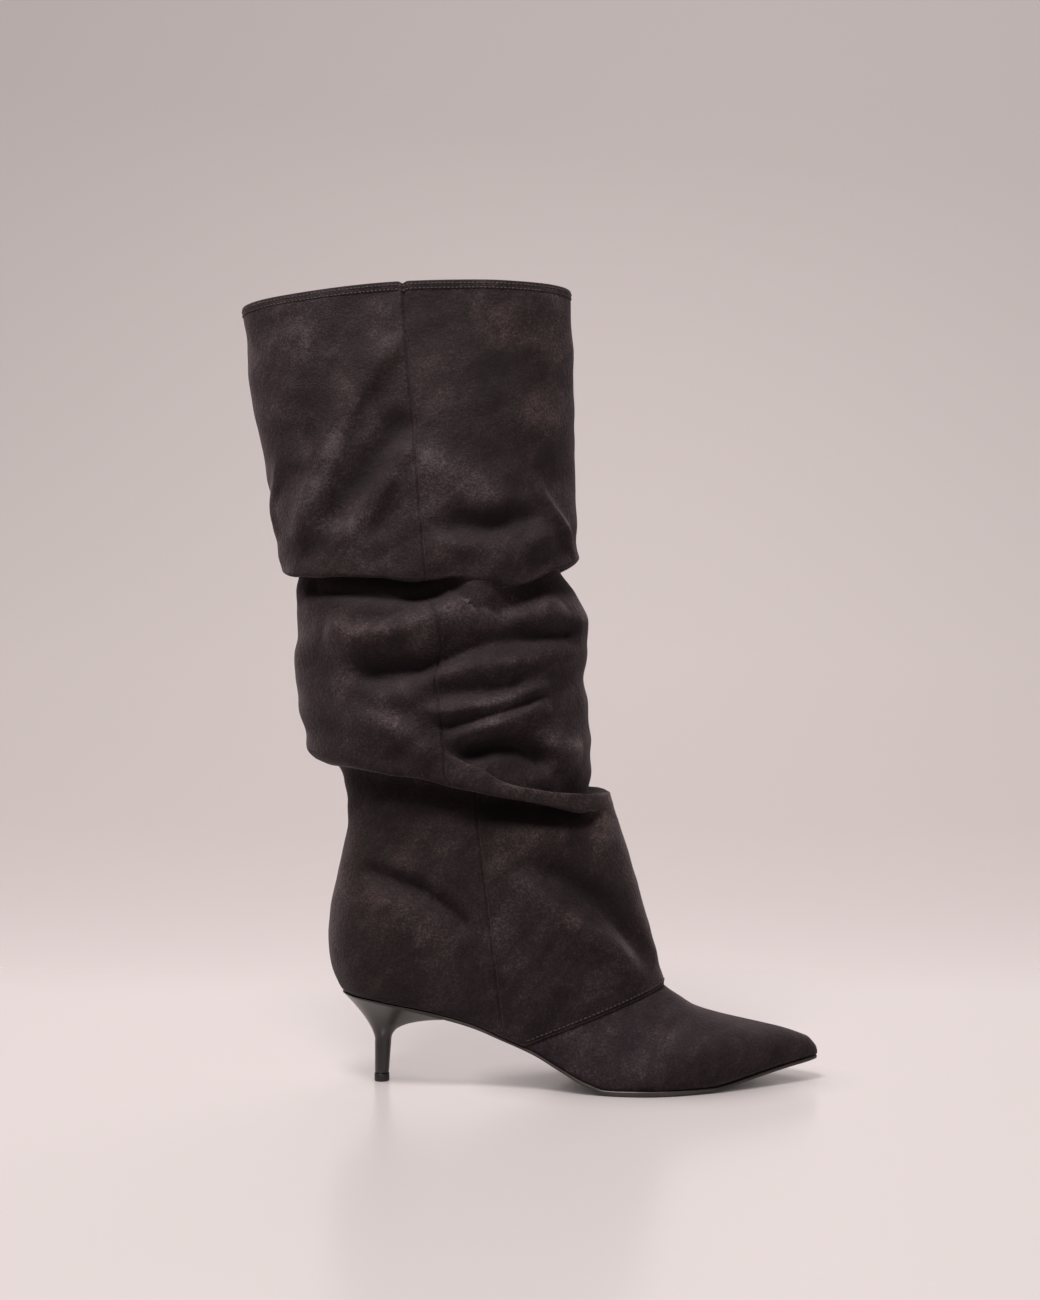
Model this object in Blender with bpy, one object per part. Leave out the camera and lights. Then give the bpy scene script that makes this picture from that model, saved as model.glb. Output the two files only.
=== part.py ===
"""Right slouch boot: a tall soft shaft with two slouch folds, a pointed vamp, a thin sole and a kitten heel.

Metres, +Z up, +X towards the toe, -Y towards the outer side of the foot.
The origin is the centre of the heel tip's lower face, on the floor.
"""

import math
from collections import namedtuple

import bmesh
import bpy
import numpy as np
from mathutils import Vector

# Sizes of the sole and the last
SOLE_LENGTH = 0.2613
BALL_WIDTH = 0.077
HEEL_HEIGHT = 0.0495
HEEL_SETBACK = 0.0215
INSTEP_HEIGHT = 0.054
TOE_SPRING = 0.0107
TOE_DEPTH = 0.0085
SOLE_FOREFOOT = 0.003
SOLE_WAIST = 0.0018
INSOLE_THICKNESS = 0.0025
INSOLE_TOE_GAP = 0.019
INSOLE_MARGIN = 0.0031

# Sizes of the upper
WALL = 0.0014
LAP_STEP = 0.0012
SHAFT_HEIGHT = 0.385
SHAFT_DEPTH = 0.164
SHAFT_WIDTH = 0.085
SIDE_SEAM_FOOT = 0.0888
VAMP_SEAM_FOOT = 0.099
VAMP_SEAM_RIDGE = 0.1765
TOE_STIFFENER = 0.010
CREASE_DEPTH = 0.005
CREASE_BREADTH = 0.009
FOLD_FLAT = 0.003
FOLD_RISE = 0.007
FOLD_LIFT = 1.2

# Sizes of the heel
HEEL_BREAST = 0.056
STEM_DEPTH = 0.0078
STEM_WIDTH = 0.0084
STEM_HEIGHT = 0.0235
FLARE_HEIGHT = 0.0335
FLARE_SPREAD = 1.7
TIP_HEIGHT = 0.0043
TIP_MARGIN = 0.0004

# Pieces that face each other keep this clearance
GAP = 0.0003

# Shares and powers that shape the curves
WAIST_RISE = 0.4
VAMP_EDGE_LEAD = 0.8
VAMP_ROUND_AT_SEAM = 0.9
VAMP_ROUND_AT_TOE = 0.74
VAMP_SWELL = 0.05
LEAST_MITRE = 0.55

# How finely the forms are drawn
COLUMNS = 48
SEAM_COLUMN = 12
CORNER_COLUMN = 13
LAP_COLUMNS = 4
OUTLINE_STEPS = 24
PLATE_STEPS = 64
SEAT_STEPS = 14
BREAST_STEPS = 6
TIP_STEPS = 32

HEEL_BACK_X = -HEEL_SETBACK
TOE_X = HEEL_BACK_X + SOLE_LENGTH
BREAST_X = HEEL_BACK_X + HEEL_BREAST

# The sole's outline. along: share of the sole's length from the heel; outer and inner: shares of the ball width
Outline = namedtuple("Outline", "along outer inner")
OUTLINE = (
    Outline(0.000, 0.000, 0.000),
    Outline(0.015, 0.150, 0.150),
    Outline(0.050, 0.268, 0.265),
    Outline(0.110, 0.338, 0.332),
    Outline(0.190, 0.352, 0.335),
    Outline(0.300, 0.345, 0.298),
    Outline(0.400, 0.375, 0.300),
    Outline(0.500, 0.455, 0.370),
    Outline(0.600, 0.515, 0.455),
    Outline(0.670, 0.505, 0.488),
    Outline(0.750, 0.430, 0.460),
    Outline(0.830, 0.310, 0.378),
    Outline(0.900, 0.192, 0.280),
    Outline(0.955, 0.088, 0.180),
    Outline(0.985, 0.022, 0.105),
    Outline(1.000, -0.040, 0.040),
)

# The foot bed's height. heel: share of the heel's height over the ball; toe: share of the toe spring
Bed = namedtuple("Bed", "along heel toe")
BED = (
    Bed(0.000, 1.000, 0.0),
    Bed(0.060, 0.970, 0.0),
    Bed(0.110, 0.926, 0.0),
    Bed(0.165, 0.870, 0.0),
    Bed(0.220, 0.795, 0.0),
    Bed(0.275, 0.700, 0.0),
    Bed(0.335, 0.558, 0.0),
    Bed(0.395, 0.412, 0.0),
    Bed(0.455, 0.220, 0.0),
    Bed(0.505, 0.075, 0.0),
    Bed(0.550, 0.000, 0.0),
    Bed(0.760, 0.000, 0.0),
    Bed(0.800, 0.000, 0.12),
    Bed(0.850, 0.000, 0.38),
    Bed(0.920, 0.000, 0.72),
    Bed(1.000, 0.000, 1.0),
)

# The vamp's ridge from the seam to the toe. instep: share of the height over the toe; nose: share of the toe's depth
Ridge = namedtuple("Ridge", "along instep nose")
RIDGE = (
    Ridge(0.000, 0.955, 1.00),
    Ridge(0.035, 0.878, 1.00),
    Ridge(0.110, 0.741, 1.00),
    Ridge(0.200, 0.590, 1.00),
    Ridge(0.380, 0.430, 1.00),
    Ridge(0.600, 0.292, 1.00),
    Ridge(0.790, 0.172, 1.00),
    Ridge(0.930, 0.050, 0.98),
    Ridge(0.985, 0.000, 0.62),
    Ridge(1.000, 0.000, 0.25),
)

# Cross sections of the shaft. centre: share of the sole's length; depth and width: shares of the shaft's
Section = namedtuple("Section", "height centre depth width")
LOWER_TOP = Section(1.0, 0.275, 0.910, 0.894)
MIDDLE = (
    Section(0.000, 0.244, 0.867, 1.000),
    Section(0.035, 0.228, 0.915, 1.015),
    Section(0.080, 0.221, 0.942, 1.025),
    Section(0.150, 0.220, 0.955, 1.030),
    Section(0.250, 0.216, 0.968, 1.030),
    Section(0.380, 0.209, 0.970, 1.010),
    Section(0.480, 0.202, 0.961, 0.985),
    Section(0.600, 0.209, 0.981, 1.000),
    Section(0.700, 0.213, 0.977, 1.010),
    Section(0.820, 0.198, 0.935, 0.985),
    Section(0.900, 0.180, 0.874, 0.930),
    Section(1.000, 0.178, 0.856, 0.890),
)
CUFF = (
    Section(0.000, 0.184, 0.996, 1.000),
    Section(0.100, 0.178, 1.006, 1.000),
    Section(0.350, 0.166, 1.026, 0.955),
    Section(0.700, 0.147, 1.079, 0.870),
    Section(1.000, 0.134, 1.098, 0.805),
)

# The shaft's edges round the leg, from the heel (0) by the outer side (0.25) and the front (0.5).
# Each is a share of the shaft's height over the heel seat.
Edge = namedtuple("Edge", "round lower_fold upper_fold collar")
EDGES = (
    Edge(0.000, 0.318, 0.593, 0.971),
    Edge(0.125, 0.318, 0.586, 0.981),
    Edge(0.250, 0.303, 0.582, 0.995),
    Edge(0.300, 0.300, 0.588, 0.998),
    Edge(0.350, 0.302, 0.580, 1.000),
    Edge(0.400, 0.295, 0.573, 1.000),
    Edge(0.450, 0.287, 0.594, 0.999),
    Edge(0.500, 0.281, 0.611, 0.997),
    Edge(0.560, 0.287, 0.598, 0.999),
    Edge(0.640, 0.297, 0.580, 1.000),
    Edge(0.750, 0.308, 0.581, 0.995),
    Edge(0.875, 0.322, 0.588, 0.981),
    Edge(1.000, 0.318, 0.593, 0.971),
)

# How far the lower shaft swells at its foot and at its top, as shares of its own height
Swell = namedtuple("Swell", "round foot top")
SWELLS = (
    Swell(0.000, 0.56, 0.47),
    Swell(0.125, 0.37, 0.22),
    Swell(0.250, 0.14, 0.02),
    Swell(0.375, 0.06, -0.02),
    Swell(0.500, 0.03, -0.06),
    Swell(0.625, 0.06, -0.02),
    Swell(0.750, 0.14, 0.02),
    Swell(0.875, 0.37, 0.22),
    Swell(1.000, 0.56, 0.47),
)

# Creases between the two folds, as straight runs over (round, height). out: share of the crease depth
Crease = namedtuple("Crease", "round height to_round to_height out")
CREASES = (
    Crease(0.080, 0.950, 0.270, 0.960, -0.80),
    Crease(0.335, 0.980, 0.345, 0.900, 1.00),
    Crease(0.305, 0.900, 0.160, 0.700, 0.60),
    Crease(0.460, 0.700, 0.315, 0.720, -0.50),
    Crease(0.315, 0.720, 0.190, 0.540, -0.80),
    Crease(0.400, 0.480, 0.260, 0.340, 0.60),
    Crease(0.270, 0.160, 0.400, 0.200, -0.60),
    Crease(0.690, 0.820, 0.840, 0.640, 0.60),
    Crease(0.580, 0.640, 0.760, 0.460, -0.70),
    Crease(0.620, 0.300, 0.800, 0.200, 0.50),
)

VAMP_WAYS = (0.0, 0.02, 0.05, 0.12, 0.21, 0.32, 0.43, 0.54, 0.65, 0.75, 0.84, 0.91, 0.96, 0.985, 1.0)
LOWER_RINGS = (0.0, 0.05, 0.13, 0.23, 0.35, 0.48, 0.61, 0.74, 0.86, 0.96, 1.0)
MIDDLE_RINGS = (0.0, 0.035, 0.08, 0.16, 0.26, 0.36, 0.46, 0.56, 0.66, 0.76, 0.86, 0.95, 1.0)
CUFF_RINGS = (0.0, 0.03, 0.10, 0.24, 0.39, 0.54, 0.69, 0.84, 1.0)
FLARE_RINGS = (0.0, 0.12, 0.28, 0.46, 0.64, 0.82, 1.0)


def mix(low, high, share):
    return low + (high - low) * share


def smooth_step(share):
    share = min(max(share, 0.0), 1.0)
    return share * share * (3 - 2 * share)


def table_value(table, column, place):
    """Cubic through a table's rows that never swings past them. The first column is the place."""
    places = [row[0] for row in table]
    values = [getattr(row, column) for row in table]
    slopes = [(b - a) / (q - p) for a, b, p, q in zip(values, values[1:], places, places[1:])]
    bends = [slopes[0]]
    for before, after in zip(slopes, slopes[1:]):
        together = before * after > 0
        bends.append(2 * before * after / (before + after) if together else 0.0)
    bends.append(slopes[-1])
    place = min(max(place, places[0]), places[-1])
    index = max(i for i, p in enumerate(places[:-1]) if p <= place)
    step = places[index + 1] - places[index]
    t = (place - places[index]) / step
    start = values[index] * (2 * t**3 - 3 * t**2 + 1) + bends[index] * step * (t**3 - 2 * t**2 + t)
    end = values[index + 1] * (3 * t**2 - 2 * t**3) + bends[index + 1] * step * (t**3 - t**2)
    return start + end


def along_of(x):
    return (x - HEEL_BACK_X) / SOLE_LENGTH


def outline_curve(side):
    """Points of one side of the sole's outline, on a smooth curve through the table's rows."""
    rows = [(row.along * SOLE_LENGTH + HEEL_BACK_X, getattr(row, side) * BALL_WIDTH) for row in OUTLINE]
    centre = 0.5 * (OUTLINE[-1].outer - OUTLINE[-1].inner) * BALL_WIDTH
    sign = 1 if side == "outer" else -1
    mirrored_tip = (rows[-2][0], 2 * sign * centre - rows[-2][1])
    rows = [(rows[1][0], -rows[1][1])] + rows + [mirrored_tip]
    points = []
    for a, b, c, d in zip(rows, rows[1:], rows[2:], rows[3:]):
        for step in range(OUTLINE_STEPS):
            t = step / OUTLINE_STEPS
            points.append(
                tuple(
                    0.5 * (2 * b[k] + (c[k] - a[k]) * t + (2 * a[k] - 5 * b[k] + 4 * c[k] - d[k]) * t**2
                           + (3 * b[k] - a[k] - 3 * c[k] + d[k]) * t**3)
                    for k in (0, 1)
                )
            )
    points.append(rows[-2])
    return np.array(points)


CURVES = {side: outline_curve(side) for side in ("outer", "inner")}


def half_width(side, x):
    curve = CURVES[side]
    return float(np.interp(x, np.maximum.accumulate(curve[:, 0]), curve[:, 1]))


def outline_walk(side, x_end, count):
    """Places along x of equal steps on the outline, from the heel's back to x_end."""
    curve = CURVES[side]
    curve = curve[curve[:, 0] <= x_end]
    length = np.concatenate([[0], np.cumsum(np.hypot(*np.diff(curve, axis=0).T))])
    steps = np.linspace(0, length[-1], count + 1)
    return [float(np.interp(step, length, curve[:, 0])) for step in steps[:-1]] + [x_end]


def bed_height(x):
    """Height of the sole's upper face."""
    along = along_of(x)
    heel = table_value(BED, "heel", along) * (HEEL_HEIGHT - SOLE_FOREFOOT)
    return SOLE_FOREFOOT + heel + table_value(BED, "toe", along) * TOE_SPRING


def sole_thickness(x):
    """The sole thins towards the waist, as the foot bed rises."""
    rise = table_value(BED, "heel", along_of(x))
    return mix(SOLE_FOREFOOT, SOLE_WAIST, smooth_step(rise / WAIST_RISE))


def side_y(side, width):
    return -width if side == "outer" else width


def vamp_point(way, around):
    """Outer face of the vamp. way: seam (0) to toe (1); around: outer sole edge (0), ridge, inner edge (1)."""
    seam_x = HEEL_BACK_X + VAMP_SEAM_FOOT
    ridge_start = HEEL_BACK_X + VAMP_SEAM_RIDGE
    edge_x = mix(seam_x, TOE_X, way**VAMP_EDGE_LEAD)
    ridge_x = mix(ridge_start, TOE_X, way)
    toe_bed = bed_height(TOE_X)
    ridge_z = toe_bed + table_value(RIDGE, "nose", way) * TOE_DEPTH
    ridge_z += table_value(RIDGE, "instep", way) * (INSTEP_HEIGHT - toe_bed - TOE_DEPTH)
    edge_z = bed_height(edge_x) + GAP
    angle = math.pi * around
    side = "outer" if around < 0.5 else "inner"
    width = half_width(side, edge_x)
    middle = OUTLINE[-1].inner * BALL_WIDTH * smooth_step(way)
    reach = abs(math.cos(angle)) ** mix(VAMP_ROUND_AT_SEAM, VAMP_ROUND_AT_TOE, smooth_step(way))
    rise = math.sin(angle)
    swell = 1 + VAMP_SWELL * math.sin(2 * min(angle, math.pi - angle))
    y = middle + (side_y(side, width) - middle) * reach * swell
    return Vector((mix(edge_x, ridge_x, rise), y, mix(edge_z, ridge_z, rise)))


def vamp_normal(way, around):
    step = 0.01
    ahead = vamp_point(min(way + step, 1.0), around) - vamp_point(max(way - step, 0.0), around)
    across = vamp_point(way, min(around + step, 1.0)) - vamp_point(way, max(around - step, 0.0))
    return ahead.cross(across).normalized()


def section_point(section, turn):
    angle = 2 * math.pi * turn
    x = HEEL_BACK_X + section.centre * SOLE_LENGTH - 0.5 * section.depth * SHAFT_DEPTH * math.cos(angle)
    return Vector((x, -0.5 * section.width * SHAFT_WIDTH * math.sin(angle), 0))


def outward(turn):
    """Level direction out of the shaft's wall."""
    angle = 2 * math.pi * turn
    return Vector((-math.cos(angle) / SHAFT_DEPTH, -math.sin(angle) / SHAFT_WIDTH, 0)).normalized()


def table_section(table, height):
    return Section(height, *(table_value(table, name, height) for name in ("centre", "depth", "width")))


def crease_out(turn, height, tall):
    """How far the creases push the wall out at a place between the folds."""
    girth = math.pi * 0.5 * (SHAFT_DEPTH + SHAFT_WIDTH)
    total = 0.0
    for row in CREASES:
        run = np.array([(row.to_round - row.round) * girth, (row.to_height - row.height) * tall])
        gone = np.array([(turn - row.round) * girth, (height - row.height) * tall])
        share = min(max(float(gone @ run) / float(run @ run), 0.0), 1.0)
        away = float(np.hypot(*(gone - share * run))) / CREASE_BREADTH
        total += row.out * math.exp(-away * away)
    return total * CREASE_DEPTH


def edge_height(name, turn):
    return HEEL_HEIGHT + table_value(EDGES, name, turn) * SHAFT_HEIGHT


def middle_wall(turn, height):
    """Plan position of the wall between the folds."""
    tall = edge_height("upper_fold", turn) - edge_height("lower_fold", turn)
    point = section_point(table_section(MIDDLE, height), turn)
    return point + outward(turn) * crease_out(turn, height, tall)


def cuff_wall(turn, height):
    return section_point(table_section(CUFF, height), turn)


def fold_turns(upper, lower, edge_z, turn):
    """Heights of a fold's low and high turn. The tube that hangs outside shows its edge at edge_z."""
    step = (upper - lower).dot(outward(turn))
    rise = min(max(FOLD_LIFT * (abs(step) - FOLD_FLAT), -WALL), FOLD_RISE)
    over = smooth_step(0.5 * (step / FOLD_FLAT + 1))
    low = edge_z - rise * (1 - over)
    return low, low + rise


def column_around(column):
    return (column - CORNER_COLUMN) / (COLUMNS - 2 * CORNER_COLUMN)


def rim_points():
    """Lower edge of the shaft: the feather line round the heel, then the vamp seam over the instep."""
    rim = [None] * COLUMNS
    for side, sign in (("outer", 1), ("inner", -1)):
        walk = outline_walk(side, HEEL_BACK_X + SIDE_SEAM_FOOT, SEAM_COLUMN)
        for column, x in enumerate(walk):
            proud = LAP_STEP * smooth_step((column + LAP_COLUMNS - SEAM_COLUMN - 1) / LAP_COLUMNS)
            width = half_width(side, x) + proud
            rim[(sign * column) % COLUMNS] = Vector((x, side_y(side, width), bed_height(x) + GAP))
    for column in range(CORNER_COLUMN, COLUMNS - CORNER_COLUMN + 1):
        around = column_around(column)
        level = vamp_normal(0.0, around)
        if column in (CORNER_COLUMN, COLUMNS - CORNER_COLUMN):
            level = Vector((level.x, level.y, 0)).normalized()
        rim[column] = vamp_point(0.0, around) + level * LAP_STEP
    return rim


def shaft_rings():
    """Rings of the shaft's outer face, from its lower edge to the collar."""
    rim = rim_points()
    rings = [[] for _ in LOWER_RINGS + MIDDLE_RINGS + CUFF_RINGS]
    for column in range(COLUMNS):
        turn = column / COLUMNS
        out = outward(turn)
        lower = section_point(LOWER_TOP, turn)
        low, high = fold_turns(middle_wall(turn, 0), lower, edge_height("lower_fold", turn), turn)
        low_2, high_2 = fold_turns(cuff_wall(turn, 0), middle_wall(turn, 1), edge_height("upper_fold", turn), turn)
        top = Vector((lower.x, lower.y, high))
        chord = top - rim[column]
        foot = chord + out * table_value(SWELLS, "foot", turn) * chord.z
        head = chord + out * table_value(SWELLS, "top", turn) * chord.z
        points = []
        for t in LOWER_RINGS:
            points.append(
                rim[column] * (2 * t**3 - 3 * t**2 + 1) + foot * (t**3 - 2 * t**2 + t)
                + top * (3 * t**2 - 2 * t**3) + head * (t**3 - t**2)
            )
        for height in MIDDLE_RINGS:
            wall = middle_wall(turn, height)
            points.append(Vector((wall.x, wall.y, mix(low, high_2, height))))
        for height in CUFF_RINGS:
            wall = cuff_wall(turn, height)
            points.append(Vector((wall.x, wall.y, mix(low_2, edge_height("collar", turn), height))))
        for ring, point in zip(rings, points):
            ring.append(point)
    return rings


def inner_rings(rings):
    """The rings moved in by the wall, square to the outer face, with corners mitred."""
    grid = np.array([[tuple(p) for p in ring] for ring in rings])
    right = np.roll(grid, -1, axis=1)
    faces = np.cross(right[:-1] - grid[1:], right[1:] - grid[:-1])
    faces /= np.linalg.norm(faces, axis=2, keepdims=True)
    padded = np.concatenate([faces[:1], faces, faces[-1:]])
    around = np.stack([padded[:-1], padded[1:], np.roll(padded, 1, axis=1)[:-1], np.roll(padded, 1, axis=1)[1:]])
    normal = around.sum(axis=0)
    normal /= np.linalg.norm(normal, axis=2, keepdims=True)
    mitre = np.clip((around * normal).sum(axis=3).mean(axis=0), LEAST_MITRE, 1.0)
    return grid - normal * (WALL / mitre)[:, :, None]


def upper_mesh():
    """The whole upper as one hollow body: shaft, vamp, and the step where the shaft laps over the vamp."""
    mesh = bmesh.new()
    outer_grid = shaft_rings()
    inner_grid = inner_rings(outer_grid)
    seam = range(CORNER_COLUMN, COLUMNS - CORNER_COLUMN + 1)
    outer = [[mesh.verts.new(p) for p in ring] for ring in outer_grid]
    vamp_out = []
    vamp_in = []
    inner_end = 1 - TOE_STIFFENER / (SOLE_LENGTH - VAMP_SEAM_FOOT)
    for way in VAMP_WAYS:
        inside = way * mix(1.0, inner_end, smooth_step(way))
        vamp_out.append([mesh.verts.new(vamp_point(way, column_around(c))) for c in seam])
        ring = []
        for column in seam:
            around = column_around(column)
            normal = vamp_normal(inside, around)
            point = vamp_point(inside, around) - normal * WALL
            if column in (seam[0], seam[-1]):
                point.z = bed_height(point.x) + GAP
            ring.append(mesh.verts.new(point))
        vamp_in.append(ring)
    inner = []
    for index, ring in enumerate(inner_grid):
        row = []
        for column, point in enumerate(ring):
            if index == 0 and column in seam:
                row.append(vamp_in[0][column - seam[0]])
            elif index == 0:
                row.append(mesh.verts.new((point[0], point[1], bed_height(float(point[0])) + GAP)))
            else:
                row.append(mesh.verts.new(point))
        inner.append(row)
    for low, high, low_in, high_in in zip(outer, outer[1:], inner, inner[1:]):
        for column in range(COLUMNS):
            after = (column + 1) % COLUMNS
            mesh.faces.new((low[column], low[after], high[after], high[column]))
            mesh.faces.new((high_in[column], high_in[after], low_in[after], low_in[column]))
    for column in range(COLUMNS):
        after = (column + 1) % COLUMNS
        mesh.faces.new((outer[-1][column], outer[-1][after], inner[-1][after], inner[-1][column]))
        if column in seam and after in seam:
            place = column - seam[0]
            step = (vamp_out[0][place], vamp_out[0][place + 1], outer[0][after], outer[0][column])
            mesh.faces.new(step)
        else:
            mesh.faces.new((outer[0][after], outer[0][column], inner[0][column], inner[0][after]))
    for end in (0, -1):
        mesh.faces.new((outer[0][seam[end]], vamp_out[0][end], vamp_in[0][end]))
    for low, high, low_in, high_in in zip(vamp_out, vamp_out[1:], vamp_in, vamp_in[1:]):
        for place in range(len(seam) - 1):
            mesh.faces.new((high[place], high[place + 1], low[place + 1], low[place]))
            mesh.faces.new((low_in[place], low_in[place + 1], high_in[place + 1], high_in[place]))
        for end in (0, -1):
            mesh.faces.new((low[end], high[end], high_in[end], low_in[end]))
    mesh.faces.new(vamp_out[-1])
    mesh.faces.new(vamp_in[-1])
    mesh.faces.new((vamp_out[-1][0], vamp_out[-1][-1], vamp_in[-1][-1], vamp_in[-1][0]))
    return mesh


def plate_mesh(x_low, x_high, inset, bottom, top):
    """Plate between two heights that follow x, inside the sole's outline by an inset."""
    mesh = bmesh.new()
    stations = [x_low] + [x for x in outline_walk("outer", x_high, PLATE_STEPS) if x > x_low + GAP]
    rows = []
    for x in stations:
        widths = [half_width(side, x) - inset for side in ("outer", "inner")]
        low, high = bottom(x), top(x)
        rows.append([mesh.verts.new((x, y, z)) for z in (low, high) for y in (-widths[0], widths[1])])
    for (a, b, c, d), (e, f, g, h) in zip(rows, rows[1:]):
        mesh.faces.new((a, b, f, e))
        mesh.faces.new((c, g, h, d))
        mesh.faces.new((a, e, g, c))
        mesh.faces.new((b, d, h, f))
    for a, b, c, d in (rows[0], rows[-1]):
        mesh.faces.new((a, c, d, b))
    return mesh


def outsole_mesh():
    return plate_mesh(BREAST_X + GAP, TOE_X - GAP, 0.0, lambda x: bed_height(x) - sole_thickness(x), bed_height)


def insole_mesh():
    def bottom(x):
        return bed_height(x) + GAP

    def top(x):
        return bottom(x) + INSOLE_THICKNESS

    return plate_mesh(HEEL_BACK_X + INSOLE_MARGIN, TOE_X - INSOLE_TOE_GAP, INSOLE_MARGIN, bottom, top)


def stem_point(angle, height, share=1.0):
    return Vector((-0.5 * STEM_DEPTH * share * math.cos(angle), -0.5 * STEM_WIDTH * share * math.sin(angle), height))


def heel_mesh():
    """Heel: a seat of the sole's outline that flares down into the stem."""
    mesh = bmesh.new()
    stations = outline_walk("outer", BREAST_X, SEAT_STEPS)
    outer = [Vector((x, -half_width("outer", x), bed_height(x))) for x in stations]
    inner = [Vector((x, half_width("inner", x), bed_height(x))) for x in stations[1:]]
    breast = [outer[-1].lerp(inner[-1], step / BREAST_STEPS) for step in range(1, BREAST_STEPS)]
    ring = outer + breast + inner[::-1]
    rings = []
    for share in FLARE_RINGS:
        points = []
        for index, start in enumerate(ring):
            angle = 2 * math.pi * index / len(ring)
            end = stem_point(angle, STEM_HEIGHT)
            bend = stem_point(angle, FLARE_HEIGHT, FLARE_SPREAD)
            points.append(start * (1 - share) ** 2 + bend * 2 * share * (1 - share) + end * share**2)
        rings.append([mesh.verts.new(p) for p in points])
    foot = [stem_point(2 * math.pi * i / len(ring), TIP_HEIGHT + GAP) for i in range(len(ring))]
    rings.append([mesh.verts.new(p) for p in foot])
    for low, high in zip(rings, rings[1:]):
        for index in range(len(ring)):
            after = (index + 1) % len(ring)
            mesh.faces.new((low[index], low[after], high[after], high[index]))
    mesh.faces.new(rings[-1])
    top = rings[0]
    mesh.faces.new((top[0], top[1], top[-1]))
    for index in range(1, SEAT_STEPS - 1):
        mesh.faces.new((top[index], top[index + 1], top[-index - 1], top[-index]))
    mesh.faces.new(top[SEAT_STEPS - 1 : SEAT_STEPS + BREAST_STEPS + 2])
    return mesh


def heel_tip_mesh():
    mesh = bmesh.new()
    bmesh.ops.create_cone(mesh, cap_ends=True, segments=TIP_STEPS, radius1=0.5, radius2=0.5, depth=TIP_HEIGHT)
    size = (STEM_DEPTH + 2 * TIP_MARGIN, STEM_WIDTH + 2 * TIP_MARGIN, 1)
    bmesh.ops.scale(mesh, vec=size, verts=mesh.verts)
    bmesh.ops.translate(mesh, vec=(0, 0, 0.5 * TIP_HEIGHT), verts=mesh.verts)
    return mesh


def material(name, color, roughness):
    made = bpy.data.materials.new(name)
    made.use_nodes = True
    shader = made.node_tree.nodes["Principled BSDF"]
    shader.inputs["Base Color"].default_value = (*color, 1)
    shader.inputs["Roughness"].default_value = roughness
    shader.inputs["Metallic"].default_value = 0.0
    return made


def add_part(name, mesh, finish, crease_angle=50):
    """Makes a scene object of a closed mesh."""
    bmesh.ops.recalc_face_normals(mesh, faces=mesh.faces)
    data = bpy.data.meshes.new(name)
    mesh.to_mesh(data)
    mesh.free()
    data.shade_smooth()
    data.set_sharp_from_angle(angle=math.radians(crease_angle))
    data.materials.append(finish)
    part = bpy.data.objects.new(name, data)
    bpy.context.scene.collection.objects.link(part)
    return part


def main():
    for old in list(bpy.data.objects):
        bpy.data.objects.remove(old)
    suede = material("suede", (0.032, 0.023, 0.025), 0.9)
    plastic = material("heel_plastic", (0.030, 0.022, 0.020), 0.3)
    rubber = material("sole_rubber", (0.050, 0.038, 0.034), 0.6)
    lining = material("lining", (0.045, 0.038, 0.038), 0.7)
    add_part("upper", upper_mesh(), suede)
    add_part("outsole", outsole_mesh(), rubber)
    add_part("insole", insole_mesh(), lining)
    add_part("heel", heel_mesh(), plastic)
    add_part("heel_tip", heel_tip_mesh(), rubber)


main()
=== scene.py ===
"""Looks of the slouch boot: creased suede upper, painted sole edge, moulded heel and a pale studio.

Metres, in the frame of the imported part: +X towards the toe, -Y the outer side, +Z up. The origin is under the
heel tip.
"""

import math
from collections import namedtuple

import bpy
import numpy as np
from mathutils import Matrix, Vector, noise


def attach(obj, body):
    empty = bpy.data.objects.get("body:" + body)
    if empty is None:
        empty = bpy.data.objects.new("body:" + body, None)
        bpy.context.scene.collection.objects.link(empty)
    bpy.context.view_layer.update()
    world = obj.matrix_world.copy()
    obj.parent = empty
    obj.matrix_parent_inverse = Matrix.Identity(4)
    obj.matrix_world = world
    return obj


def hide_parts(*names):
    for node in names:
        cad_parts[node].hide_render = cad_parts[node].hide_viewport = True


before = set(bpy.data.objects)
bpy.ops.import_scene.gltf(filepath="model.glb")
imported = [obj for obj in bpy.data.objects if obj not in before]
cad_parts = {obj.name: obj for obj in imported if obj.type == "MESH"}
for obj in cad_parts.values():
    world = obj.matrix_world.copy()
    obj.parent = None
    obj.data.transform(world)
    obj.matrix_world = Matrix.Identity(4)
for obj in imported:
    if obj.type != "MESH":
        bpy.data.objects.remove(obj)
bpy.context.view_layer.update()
MM = 0.001
TINY = 1e-12

# Camera: level, square to the boot's side
EYE = Vector((0.0759, -1.0, 0.2365))
LENS = 50.35
SENSOR = 36.0

# Sizes of the sole and the last, as in the part
SOLE_LENGTH = 0.2613
BALL_WIDTH = 0.077
HEEL_HEIGHT = 0.0495
HEEL_SETBACK = 0.0215
INSTEP_HEIGHT = 0.054
TOE_SPRING = 0.0107
TOE_DEPTH = 0.0085
SOLE_FOREFOOT = 0.003
SOLE_WAIST = 0.0018
WAIST_RISE = 0.4
INSOLE_THICKNESS = 0.0025
INSOLE_TOE_GAP = 0.019
INSOLE_MARGIN = 0.0031

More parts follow.
